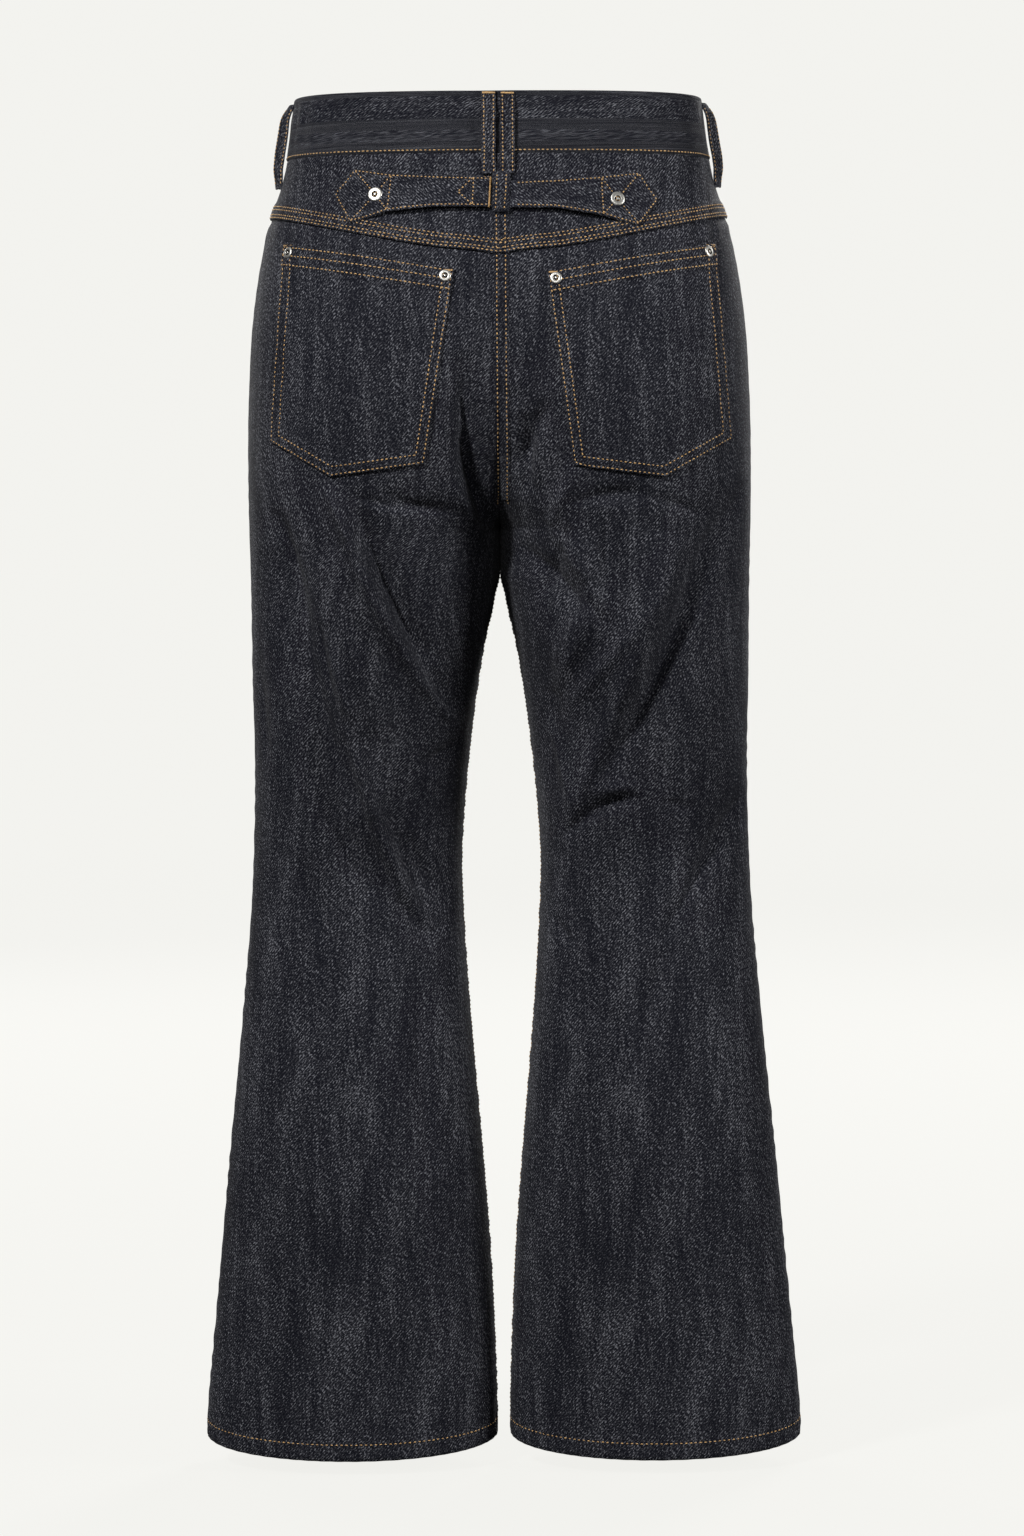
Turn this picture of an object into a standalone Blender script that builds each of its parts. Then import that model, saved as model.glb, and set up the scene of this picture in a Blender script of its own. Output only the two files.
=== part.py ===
"""Bootcut jeans with a cinched back, hollow and filled out as a body would hold them.

Metres, +Z up.  The origin is the middle of the waist opening, level with the top edge
of the waistband, and every place below is given as a drop, measured down from there.
The fly faces -Y, the back pockets face +Y, and the wearer's left is +X.

Each half of the jeans is a tube whose level sections are rounded ovals.  A point on it
has a turn, the angle round the tube from the side seam (0) through the back (90
degrees) to the inside leg (180), or through the front (-90), and a drop.  Above the
crotch the tube is cut off at the middle of the body, which gives the rise seam.
"""

from math import acos, cos, pi, radians, sin

import bmesh
import bpy
import numpy as np
from mathutils import Matrix, Vector

NAME = "Bootcut_Jeans"

# Cloth and the gaps between pieces
CLOTH = 0.0018           # wall of a leg panel or a yoke
BAND_CLOTH = 0.0026      # the waistband is several layers thick
PATCH_CLOTH = 0.0015     # pockets, straps and the fly lap
LOOP_CLOTH = 0.0018
GAP = 0.0003             # between a piece and the one it lies on
SEAM_GAP = 0.0006        # between two panels that are sewn together

# Levels, as drops below the top of the waist
BAND_HEIGHT = 0.0435
YOKE_SIDE = 0.0865       # lower edge of the yoke at the side seam
YOKE_MIDDLE = 0.1163     # and at the centre back
CROTCH = 0.318
HEM = 1.000
HEM_DIP = 0.010          # the hem hangs lower at the back than at the sides
HEM_RISE = 0.004         # and is a little higher at the front

# The level sections of one half: its outermost and innermost x, where its oval is
# centred, how far it reaches to the back and the front, and how square the oval is.
SECTION_COLUMNS = ("drop", "outer", "inner", "centre_x", "centre_y", "back", "front", "power")
SECTIONS = (
    (0.000, 0.1506, -0.1500, 0.0000, 0.000, 0.1000, -0.1040, 2.90),
    (0.038, 0.1556, -0.1500, 0.0000, 0.001, 0.1030, -0.1070, 2.80),
    (0.064, 0.1612, -0.1450, 0.0100, 0.002, 0.1080, -0.1090, 2.65),
    (0.087, 0.1692, -0.1400, 0.0230, 0.003, 0.1135, -0.1105, 2.50),
    (0.116, 0.1760, -0.1300, 0.0390, 0.004, 0.1205, -0.1120, 2.45),
    (0.147, 0.1811, -0.1150, 0.0540, 0.005, 0.1270, -0.1125, 2.40),
    (0.177, 0.1843, -0.0980, 0.0650, 0.006, 0.1310, -0.1120, 2.35),
    (0.207, 0.1859, -0.0800, 0.0745, 0.007, 0.1325, -0.1110, 2.30),
    (0.237, 0.1870, -0.0600, 0.0815, 0.008, 0.1310, -0.1090, 2.30),
    (0.267, 0.1873, -0.0400, 0.0865, 0.009, 0.1270, -0.1060, 2.25),
    (0.297, 0.1872, -0.0180, 0.0905, 0.010, 0.1210, -0.1020, 2.20),
    (0.318, 0.1869, 0.0000, 0.0930, 0.010, 0.1170, -0.0985, 2.15),
    (0.342, 0.1863, 0.0014, 0.0943, 0.010, 0.1130, -0.0955, 2.15),
    (0.372, 0.1858, 0.0045, 0.0955, 0.010, 0.1080, -0.0920, 2.15),
    (0.402, 0.1856, 0.0113, 0.0985, 0.009, 0.1020, -0.0890, 2.15),
    (0.432, 0.1855, 0.0165, 0.1010, 0.006, 0.0950, -0.0860, 2.15),
    (0.477, 0.1847, 0.0225, 0.1035, 0.001, 0.0820, -0.0820, 2.15),
    (0.537, 0.1855, 0.0282, 0.1068, -0.005, 0.0670, -0.0775, 2.15),
    (0.567, 0.1866, 0.0297, 0.1081, -0.006, 0.0615, -0.0755, 2.15),
    (0.597, 0.1881, 0.0289, 0.1085, -0.006, 0.0590, -0.0730, 2.15),
    (0.657, 0.1930, 0.0255, 0.1092, -0.002, 0.0620, -0.0690, 2.10),
    (0.718, 0.1986, 0.0207, 0.1097, 0.002, 0.0660, -0.0655, 2.10),
    (0.785, 0.2054, 0.0150, 0.1102, 0.003, 0.0675, -0.0620, 2.05),
    (0.860, 0.2124, 0.0094, 0.1106, 0.003, 0.0665, -0.0590, 2.05),
    (0.935, 0.2196, 0.0060, 0.1122, 0.003, 0.0650, -0.0575, 2.00),
    (0.973, 0.2232, 0.0049, 0.1132, 0.003, 0.0645, -0.0570, 2.00),
    (1.010, 0.2246, 0.0049, 0.1138, 0.003, 0.0645, -0.0570, 2.00),
)

# The largest folds: each runs from one place to another, may bow sideways in its
# middle, and stands above the cloth (+) or sinks into it (-) by its height.
FOLD_COLUMNS = ("x", "drop", "to_x", "to_drop", "bow", "width", "height")
LEFT_BACK_FOLDS = (
    (0.124, 0.285, 0.048, 0.439, 0.005, 0.012, 0.0050),
    (0.100, 0.300, 0.034, 0.452, 0.006, 0.013, -0.0050),
    (0.128, 0.405, 0.050, 0.616, 0.012, 0.012, 0.0045),
    (0.142, 0.470, 0.085, 0.600, 0.006, 0.012, -0.0035),
    (0.086, 0.512, 0.044, 0.618, 0.004, 0.012, -0.0035),
    (0.088, 0.286, 0.020, 0.299, 0.002, 0.010, -0.0045),
    (0.168, 0.292, 0.140, 0.410, -0.004, 0.012, -0.0035),
    (0.024, 0.196, 0.012, 0.282, 0.003, 0.010, -0.0035),
)
RIGHT_BACK_FOLDS = (
    (0.057, 0.270, 0.038, 0.314, 0.000, 0.011, 0.0042),
    (0.036, 0.306, 0.072, 0.370, 0.000, 0.011, 0.0045),
    (0.072, 0.362, 0.036, 0.440, 0.003, 0.012, 0.0045),
    (0.012, 0.328, 0.062, 0.376, 0.000, 0.012, -0.0050),
    (0.062, 0.294, 0.106, 0.289, 0.000, 0.009, -0.0035),
    (0.168, 0.288, 0.078, 0.505, 0.007, 0.014, -0.0062),
    (0.134, 0.322, 0.044, 0.548, 0.003, 0.012, 0.0045),
    (0.046, 0.546, 0.105, 0.516, 0.006, 0.008, -0.0048),
    (0.184, 0.512, 0.138, 0.594, 0.000, 0.013, -0.0035),
    (0.036, 0.224, 0.013, 0.276, 0.000, 0.009, -0.0045),
)
LEFT_FRONT_FOLDS = (
    (0.018, 0.276, 0.108, 0.236, 0.006, 0.011, -0.0040),
    (0.022, 0.300, 0.125, 0.275, 0.006, 0.012, 0.0035),
    (0.026, 0.330, 0.118, 0.352, -0.006, 0.012, -0.0035),
    (0.052, 0.478, 0.142, 0.520, -0.006, 0.013, -0.0040),
    (0.152, 0.540, 0.064, 0.580, 0.006, 0.013, 0.0035),
    (0.120, 0.400, 0.070, 0.470, 0.004, 0.013, 0.0035),
)
RIGHT_FRONT_FOLDS = (
    (0.020, 0.268, 0.098, 0.224, 0.006, 0.011, -0.0040),
    (0.022, 0.296, 0.122, 0.262, 0.006, 0.012, 0.0035),
    (0.028, 0.326, 0.128, 0.338, -0.006, 0.012, -0.0035),
    (0.146, 0.494, 0.062, 0.526, 0.006, 0.013, -0.0040),
    (0.058, 0.556, 0.140, 0.592, -0.006, 0.013, 0.0035),
    (0.072, 0.392, 0.122, 0.462, 0.004, 0.013, 0.0035),
)
FOLDS = {
    ("left", "back"): LEFT_BACK_FOLDS,
    ("right", "back"): RIGHT_BACK_FOLDS,
    ("left", "front"): LEFT_FRONT_FOLDS,
    ("right", "front"): RIGHT_FRONT_FOLDS,
}

# How finely the walls are divided
PANEL_COLUMNS = 18
CROWDING = 0.06          # how much closer the columns stand beside a seam
RISE_ROWS = 12
THIGH_ROWS = 15          # the thigh and knee hold the folds, so their rows are close
SHIN_ROWS = 9
LEG_ROWS = THIGH_ROWS + SHIN_ROWS
BELOW_KNEE = 0.42        # how far down the leg the wider rows start, as a share
YOKE_COLUMNS = 14
YOKE_ROWS = 3
BAND_COLUMNS = 26        # for each half

# Scooped front pocket, and the facing that shows in the scoop
SCOOP_TURN = radians(-66)        # where the scoop leaves the waistband
SCOOP_DEPTH = 0.118              # where it meets the side seam
SCOOP_ROWS = 6
FACING_MARGIN = 0.20             # how far the facing runs on under the panel, in turn
FACING_BOTTOM = 0.135

# Outlines on the back, as (x, drop) of the left one; the right one is its mirror image
BACK_POCKET = ((0.0339, 0.1320), (0.1562, 0.1106), (0.1684, 0.2520), (0.1215, 0.2784), (0.0549, 0.2694))
LEFT_STRAP = ((0.0072, 0.0626), (0.1057, 0.0569), (0.1203, 0.0749), (0.1084, 0.0920), (0.0072, 0.0851))
RIGHT_STRAP = ((0.0072, 0.0655), (0.1011, 0.0603), (0.1147, 0.0775), (0.0994, 0.0935), (0.0072, 0.0851))
FLY_WIDTH = 0.040
FLY_STRAIGHT = 0.135             # the fly lap curves in to the middle below this
FLY_BOTTOM = 0.182

# Belt loops: their width, their stations as (drop, share of the lift), and their places
LOOP_WIDTH = 0.0105
LOOP_BASE = 0.0012               # the loop's underside over the cloth, where it is tacked
LOOP_STATIONS = (
    (0.0040, 0.0), (0.0095, 0.0), (0.0125, 0.7), (0.0170, 1.0), (0.0280, 1.0),
    (0.0400, 1.0), (0.0500, 0.75), (0.0545, 0.0), (0.0610, 0.0),
)
SIDE_LOOP_STATIONS = (
    (0.0050, 0.0), (0.0100, 0.0), (0.0120, 0.75), (0.0160, 1.0), (0.0280, 1.0),
    (0.0420, 1.0), (0.0530, 0.85), (0.0590, 0.0), (0.0650, 0.0),
)
BACK_LOOP_LIFT = 0.0030
SIDE_LOOP_LIFT = 0.0056
BACK_LOOPS = (("left", 0.0084), ("right", 0.0047))
FRONT_LOOP_X = 0.082

# The keeper that holds the two strap ends together at the centre back
KEEPER_X = -0.0021
KEEPER_WIDTH = 0.0100
KEEPER_TOP = 0.0625
KEEPER_BOTTOM = 0.0889
KEEPER_LIFT = 0.0012             # over the straps

# Metal parts, as profiles of (radius, height) turned round their own axis
RIVET_PROFILE = ((0.0, 0.0007), (0.0016, 0.0007), (0.0022, 0.0014), (0.0036, 0.0014), (0.0050, 0.0))
CINCH_PROFILE = ((0.0, 0.0009), (0.0020, 0.0009), (0.0030, 0.0020), (0.0048, 0.0018), (0.0056, 0.0))
BUTTON_PROFILE = ((0.0, 0.0022), (0.0052, 0.0022), (0.0064, 0.0034), (0.0078, 0.0030), (0.0085, 0.0))
ROUND_SIDES = 14
POCKET_RIVETS = (("outer", 0.1527, 0.1162), ("inner", 0.0405, 0.1357))
CINCH_RIVETS = (("left", 0.0905, 0.0752), ("right", 0.0842, 0.0775))
BUTTON_DROP = 0.0215

SIDES = ("left", "right")


def between(stations, values, places):
    """A smooth curve through values at stations, read at places."""
    slopes = np.gradient(values, stations)
    places = np.clip(places, stations[0], stations[-1])
    lower = np.clip(np.searchsorted(stations, places, side="right") - 1, 0, len(stations) - 2)
    step = stations[lower + 1] - stations[lower]
    part = (places - stations[lower]) / step
    rise = part * part * (3.0 - 2.0 * part)
    curve = values[lower] * (1.0 - rise) + values[lower + 1] * rise
    curve += step * slopes[lower] * part * (1.0 - part) ** 2
    curve -= step * slopes[lower + 1] * part ** 2 * (1.0 - part)
    return curve


def section(drops):
    """The sizes of the level section at each drop, by column name."""
    table = np.array(SECTIONS)
    drops = np.asarray(drops, dtype=float)
    sizes = {}
    for number, column in enumerate(SECTION_COLUMNS):
        sizes[column] = between(table[:, 0], table[:, number], drops)
    return sizes


def ease(value, low, high):
    """Rises smoothly from 0 at low to 1 at high."""
    part = np.clip((value - low) / (high - low), 0.0, 1.0)
    return part * part * (3.0 - 2.0 * part)


def smooth_form(turns, drops):
    """Points of the left half without its folds."""
    size = section(drops)
    across = np.cos(turns)
    along = np.sin(turns)
    width = np.where(across >= 0, size["outer"] - size["centre_x"], size["centre_x"] - size["inner"])
    depth = np.where(along >= 0, size["back"] - size["centre_y"], size["centre_y"] - size["front"])
    x = size["centre_x"] + width * np.sign(across) * np.abs(across) ** (2 / size["power"])
    y = size["centre_y"] + depth * np.sign(along) * np.abs(along) ** (2 / size["power"])
    return np.stack((x, y, -np.asarray(drops) * np.ones_like(x)), axis=-1)


def facing_out(form, turns, drops):
    """Unit normals of a form, from its slopes round and down."""
    small = 0.0008
    round_slope = form(turns + small, drops) - form(turns - small, drops)
    down_slope = form(turns, drops + small) - form(turns, drops - small)
    normals = np.cross(down_slope, round_slope)
    return normals / np.linalg.norm(normals, axis=-1, keepdims=True)


def fold_height(x, drops, folds):
    """How far the folds lift the cloth at each place."""
    height = np.zeros_like(x)
    for row in folds:
        fold = dict(zip(FOLD_COLUMNS, row))
        run_x = fold["to_x"] - fold["x"]
        run_drop = fold["to_drop"] - fold["drop"]
        length = np.hypot(run_x, run_drop)
        part = ((x - fold["x"]) * run_x + (drops - fold["drop"]) * run_drop) / length ** 2
        aside = ((x - fold["x"]) * run_drop - (drops - fold["drop"]) * run_x) / length
        part = np.clip(part, 0.0, 1.0)
        aside = aside - fold["bow"] * 4.0 * part * (1.0 - part)
        fading = np.sin(pi * part) ** 0.8
        height += fold["height"] * fading * np.exp(-(aside / fold["width"]) ** 2)
    return height


def cloth_form(turns, drops, side):
    """Points of the left half with the folds of the named side."""
    turns, drops = np.broadcast_arrays(np.asarray(turns, dtype=float), np.asarray(drops, dtype=float))
    points = smooth_form(turns, drops)
    x = points[..., 0]
    back = fold_height(x, drops, FOLDS[side, "back"])
    front = fold_height(x, drops, FOLDS[side, "front"])
    away_from_seams = ease(np.abs(np.sin(turns)), 0.10, 0.50) * ease(x, 0.001, 0.013)
    lift = np.where(np.sin(turns) >= 0, back, front) * away_from_seams
    return points + facing_out(smooth_form, turns, drops) * lift[..., None]


def cloth(turns, drops, side, out=0.0):
    """Points of one side's cloth, moved out along its normals."""
    points = cloth_form(turns, drops, side)
    if np.any(out):
        def form(some_turns, some_drops):
            return cloth_form(some_turns, some_drops, side)
        normals = facing_out(form, np.asarray(turns, dtype=float), np.asarray(drops, dtype=float))
        points = points + normals * np.asarray(out)[..., None]
    if side == "right":
        points = points * np.array((-1.0, 1.0, 1.0))
    return points


def rise_turn(drop, face):
    """The turn at which one half reaches the middle of the body."""
    size = {column: float(value) for column, value in section(drop).items()}
    short = SEAM_GAP / 2 - size["centre_x"]
    if short >= 0:
        turn = acos((short / (size["outer"] - size["centre_x"])) ** (size["power"] / 2))
    else:
        reach = min(1.0, -short / (size["centre_x"] - size["inner"]))
        turn = pi - acos(reach ** (size["power"] / 2))
    return turn if face == "back" else -turn


def turn_at(x, drop, face):
    """The turn of the cloth at x from the middle, on the back or the front."""
    size = {column: float(value) for column, value in section(drop).items()}
    short = x - size["centre_x"]
    if short >= 0:
        turn = acos(min(1.0, short / (size["outer"] - size["centre_x"])) ** (size["power"] / 2))
    else:
        turn = pi - acos((-short / (size["centre_x"] - size["inner"])) ** (size["power"] / 2))
    return turn if face == "back" else -turn


def crotch_drop():
    """Where the rise seam ends: the half just reaches its side of the seam there."""
    drops = np.linspace(CROTCH - 0.02, CROTCH + 0.02, 401)
    inner = section(drops)["inner"]
    return float(np.interp(SEAM_GAP / 2, inner, drops))


def rise_ends(top, face, rows):
    """Evenly spaced (turn, drop) ends down the rise seam, from top to the crotch."""
    bottom = crotch_drop()
    drops = top + (bottom - top) * np.sin(np.linspace(0.0, pi / 2, 200))
    turns = np.array([rise_turn(drop, face) for drop in drops])
    turns[-1] = pi if face == "back" else -pi
    points = smooth_form(turns, drops)
    travelled = np.concatenate(([0.0], np.cumsum(np.linalg.norm(np.diff(points, axis=0), axis=1))))
    marks = np.linspace(0.0, travelled[-1], rows + 1)
    return np.interp(marks, travelled, turns), np.interp(marks, travelled, drops)


def ruled(outer_turns, outer_drops, inner_turns, inner_drops, columns):
    """Rows of turns and drops between the two side edges of a panel."""
    share = np.linspace(0.0, 1.0, columns + 1)[None, :]
    share = share - CROWDING * np.sin(2 * pi * share)
    turns = outer_turns[:, None] * (1 - share) + inner_turns[:, None] * share
    swing = (1 - np.cos(turns - outer_turns[:, None])) / (1 - np.cos(inner_turns - outer_turns))[:, None]
    drops = outer_drops[:, None] * (1 - swing) + inner_drops[:, None] * swing
    return turns, drops


def with_hem_dip(turns, drops):
    """Lets the legs hang lower in the middle of the back than at the side seams."""
    sway = np.where(np.sin(turns) >= 0, HEM_DIP, HEM_RISE) * np.sin(turns)
    return drops + sway * ease(drops, 0.6, HEM)


def collection():
    """The collection that holds the parts."""
    found = bpy.data.collections.get(NAME)
    if found is None:
        found = bpy.data.collections.new(NAME)
        bpy.context.scene.collection.children.link(found)
    return found


def material(name, colour, roughness, metallic=0.0):
    """A plain finish for one kind of piece."""
    finish = bpy.data.materials.get(name)
    if finish is None:
        finish = bpy.data.materials.new(name)
        finish.use_nodes = True
        shader = finish.node_tree.nodes["Principled BSDF"]
        shader.inputs["Base Color"].default_value = (*colour, 1.0)
        shader.inputs["Roughness"].default_value = roughness
        shader.inputs["Metallic"].default_value = metallic
    return finish


def denim():
    return material("raw_denim", (0.016, 0.019, 0.030), 0.85)


def nickel():
    return material("nickel", (0.62, 0.61, 0.58), 0.3, 1.0)


def keep(name, mesh, finish, smooth=True):
    """Adds a mesh as a named part."""
    part = bpy.data.objects.new(name, mesh)
    collection().objects.link(part)
    mesh.materials.clear()
    mesh.materials.append(finish)
    if smooth:
        mesh.shade_smooth()
        mesh.set_sharp_from_angle(angle=radians(40))
    return part


def thicken(part, thickness, outwards=False):
    """Gives an open sheet its wall, inwards or outwards."""
    wall = part.modifiers.new("Wall", "SOLIDIFY")
    wall.thickness = thickness
    wall.offset = 1.0 if outwards else -1.0


def sheet_mesh(name, points):
    """An open triangulated sheet through rows of points, facing out."""
    rows, columns = points.shape[:2]
    sheet = bmesh.new()
    bmesh.ops.create_grid(sheet, x_segments=columns - 1, y_segments=rows - 1, size=1.0)
    for vertex, point in zip(sheet.verts, points.reshape(-1, 3)):
        vertex.co = point
    bmesh.ops.triangulate(sheet, faces=sheet.faces[:], quad_method="FIXED")
    face_outwards(sheet)
    mesh = bpy.data.meshes.new(name)
    sheet.to_mesh(mesh)
    sheet.free()
    return mesh


def face_outwards(sheet):
    """Turns a sheet's faces away from the axis of its leg or of the body."""
    sheet.normal_update()
    agreement = 0.0
    for face in sheet.faces:
        centre = face.calc_center_median()
        axis_x = float(section(max(0.0, -centre.z))["centre_x"]) * (1 if centre.x >= 0 else -1)
        agreement += face.normal.dot(Vector((centre.x - axis_x, centre.y, 0.0))) * face.calc_area()
    if agreement < 0:
        bmesh.ops.reverse_faces(sheet, faces=sheet.faces[:])


def wall(name, turns, drops, side, thickness=CLOTH, out=0.0):
    """A piece of cloth over rows of turns and drops."""
    mesh = sheet_mesh(name, cloth(turns, drops, side, out))
    part = keep(name, mesh, denim())
    thicken(part, thickness)
    return part


def leg_shares():
    """Where the rows of a leg stand between the crotch and the hem."""
    close = np.linspace(0.0, BELOW_KNEE, THIGH_ROWS + 1)[1:]
    wide = np.linspace(BELOW_KNEE, 1.0, SHIN_ROWS + 1)[1:]
    return np.concatenate((close, wide))


def back_panels():
    """Each back leg, from the yoke seam down to the hem."""
    top_gap = SEAM_GAP
    for side in SIDES:
        inner_turns, inner_drops = rise_ends(YOKE_MIDDLE + top_gap, "back", RISE_ROWS)
        thigh = crotch_drop() + 0.010
        outer_drops = np.linspace(YOKE_SIDE + top_gap, thigh, RISE_ROWS + 1)
        leg = leg_shares()
        outer_drops = np.concatenate((outer_drops, thigh + (HEM - thigh) * leg))
        inner_drops = np.concatenate((inner_drops, inner_drops[-1] + (HEM - inner_drops[-1]) * leg))
        inner_turns = np.concatenate((inner_turns, np.full(LEG_ROWS, pi)))
        edge = seam_turns(outer_drops, 1)
        inner_turns[RISE_ROWS:] -= seam_turns(inner_drops[RISE_ROWS:], 1)
        turns, drops = ruled(edge, outer_drops, inner_turns, inner_drops, PANEL_COLUMNS)
        wall(f"back_leg_{side}", turns, with_hem_dip(turns, drops), side)


def seam_turns(drops, way):
    """The small turn that leaves half a seam's gap beside the side seam or inseam."""
    depths = np.asarray(section(drops)["back"]) - np.asarray(section(drops)["centre_y"])
    powers = np.asarray(section(drops)["power"])
    return way * (SEAM_GAP / 2 / depths) ** (powers / 2)


def front_panels():
    """Each front leg, from the waistband to the hem, scooped out for its pocket."""
    top = BAND_HEIGHT + GAP
    for side in SIDES:
        inner_turns, inner_drops = rise_ends(top, "front", RISE_ROWS + SCOOP_ROWS)
        thigh = crotch_drop() + 0.010
        arc = np.linspace(0.0, pi / 2, SCOOP_ROWS + 3)
        scoop_turns = SCOOP_TURN * np.cos(arc)
        scoop_drops = top + (SCOOP_DEPTH - top) * np.sin(arc)
        below = np.linspace(SCOOP_DEPTH, thigh, RISE_ROWS - 1)[1:]
        leg = leg_shares()
        outer_drops = np.concatenate((scoop_drops, below, thigh + (HEM - thigh) * leg))
        outer_turns = np.zeros_like(outer_drops)
        outer_turns[:len(arc)] = scoop_turns
        outer_turns = np.minimum(outer_turns, seam_turns(outer_drops, -1))
        inner_drops = np.concatenate((inner_drops, inner_drops[-1] + (HEM - inner_drops[-1]) * leg))
        inner_turns = np.concatenate((inner_turns, np.full(LEG_ROWS, -pi)))
        first_leg_row = RISE_ROWS + SCOOP_ROWS
        inner_turns[first_leg_row:] += seam_turns(inner_drops[first_leg_row:], 1)
        turns, drops = ruled(outer_turns, outer_drops, inner_turns, inner_drops, PANEL_COLUMNS)
        wall(f"front_leg_{side}", turns, with_hem_dip(turns, drops), side)


def pocket_facings():
    """The piece that shows in each scoop, and runs on a little under the front leg."""
    top = BAND_HEIGHT + GAP
    rows = 7
    for side in SIDES:
        arc = np.linspace(0.0, 1.0, rows)
        outer_drops = top + (FACING_BOTTOM - top) * arc
        outer_turns = seam_turns(outer_drops, -1)
        inner_turns = SCOOP_TURN * np.sqrt(1.0 - (0.9 * arc) ** 2) - FACING_MARGIN
        turns, drops = ruled(outer_turns, outer_drops, inner_turns, outer_drops, 10)
        wall(f"pocket_facing_{side}", turns, drops, side, out=-(CLOTH + 4 * GAP))


def yokes():
    """The two halves of the back yoke, deeper in the middle than at the sides."""
    top = BAND_HEIGHT + GAP
    for side in SIDES:
        share = np.linspace(0.0, 1.0, YOKE_ROWS + 1)
        outer_drops = top + (YOKE_SIDE - top) * share
        inner_drops = top + (YOKE_MIDDLE - top) * share
        inner_turns = np.array([rise_turn(drop, "back") for drop in inner_drops])
        turns, drops = ruled(seam_turns(outer_drops, 1), outer_drops, inner_turns, inner_drops, YOKE_COLUMNS)
        wall(f"yoke_{side}", turns, drops, side)


def waistband():
    """One strip all round, its under end tucked behind the buttoned end at the front."""
    tuck = 0.034                 # how far the under end runs on behind
    proud = 0.0006
    drops = np.array((0.0, BAND_HEIGHT / 2, BAND_HEIGHT))
    half = np.linspace(-pi / 2, pi / 2, BAND_COLUMNS + 1)
    left = [("left", turn, proud) for turn in half[:-1]]
    right = [("right", turn, proud) for turn in half[::-1]]
    step = float(half[1] - half[0])
    right[-1] = ("right", -pi / 2 + 0.35 * step, proud)
    behind = proud - BAND_CLOTH - 2 * GAP
    for share in (0.0, 0.5, 1.0):
        turn = turn_at(0.003 + (tuck - 0.003) * share, 0.02, "front")
        right.append(("left", turn, behind))
    columns = []
    for side, turn, out in left + right:
        columns.append(cloth(np.full(len(drops), turn), drops, side, np.full(len(drops), out)))
    points = np.stack(columns, axis=1)
    part = keep("waistband", sheet_mesh("waistband", points), denim())
    thicken(part, BAND_CLOTH)


def patch(name, panel, outline, thickness, out=GAP, finish=None):
    """A piece laid on a panel: the panel's own facets inside a convex outline, moved out.

    The outline holds (x, drop) corners in order, in true x of its own side.
    """
    sheet = bmesh.new()
    sheet.from_mesh(bpy.data.objects[panel].data)
    middle = Vector((sum(x for x, _ in outline) / len(outline), 0.0,
                     -sum(drop for _, drop in outline) / len(outline)))
    for first, second in zip(outline, outline[1:] + outline[:1]):
        start = Vector((first[0], 0.0, -first[1]))
        run = Vector((second[0], 0.0, -second[1])) - start
        away = run.cross(Vector((0.0, 1.0, 0.0)))
        if away.dot(middle - start) > 0:
            away.negate()
        whole = sheet.verts[:] + sheet.edges[:] + sheet.faces[:]
        bmesh.ops.bisect_plane(sheet, geom=whole, plane_co=start, plane_no=away, clear_outer=True)
    bmesh.ops.remove_doubles(sheet, verts=sheet.verts[:], dist=0.0001)
    bmesh.ops.triangulate(sheet, faces=sheet.faces[:])
    sheet.normal_update()
    moved = [(vertex, vertex.co + vertex.normal * out) for vertex in sheet.verts]
    for vertex, place in moved:
        vertex.co = place
    mesh = bpy.data.meshes.new(name)
    sheet.to_mesh(mesh)
    sheet.free()
    part = keep(name, mesh, finish or denim())
    thicken(part, thickness, outwards=True)
    return part


def mirrored(outline):
    """The same outline on the wearer's right."""
    return tuple((-x, drop) for x, drop in outline)


def back_pockets():
    patch("back_pocket_left", "back_leg_left", BACK_POCKET, PATCH_CLOTH)
    patch("back_pocket_right", "back_leg_right", mirrored(BACK_POCKET), PATCH_CLOTH)


def cinch_straps():
    patch("cinch_strap_left", "yoke_left", LEFT_STRAP, PATCH_CLOTH)
    patch("cinch_strap_right", "yoke_right", mirrored(RIGHT_STRAP), PATCH_CLOTH)


def fly_lap():
    """The lap that covers the fly, straight down and then curved in to the middle."""
    inset = 0.0008
    curve = np.linspace(0.0, pi / 2, 5)
    rounding = [(inset + (FLY_WIDTH - inset) * cos(angle),
                 FLY_STRAIGHT + (FLY_BOTTOM - FLY_STRAIGHT) * sin(angle)) for angle in curve]
    outline = ((inset, BAND_HEIGHT + 2 * GAP), (FLY_WIDTH, BAND_HEIGHT + 2 * GAP), *rounding)
    patch("fly_lap", "front_leg_left", outline, PATCH_CLOTH)


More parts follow.
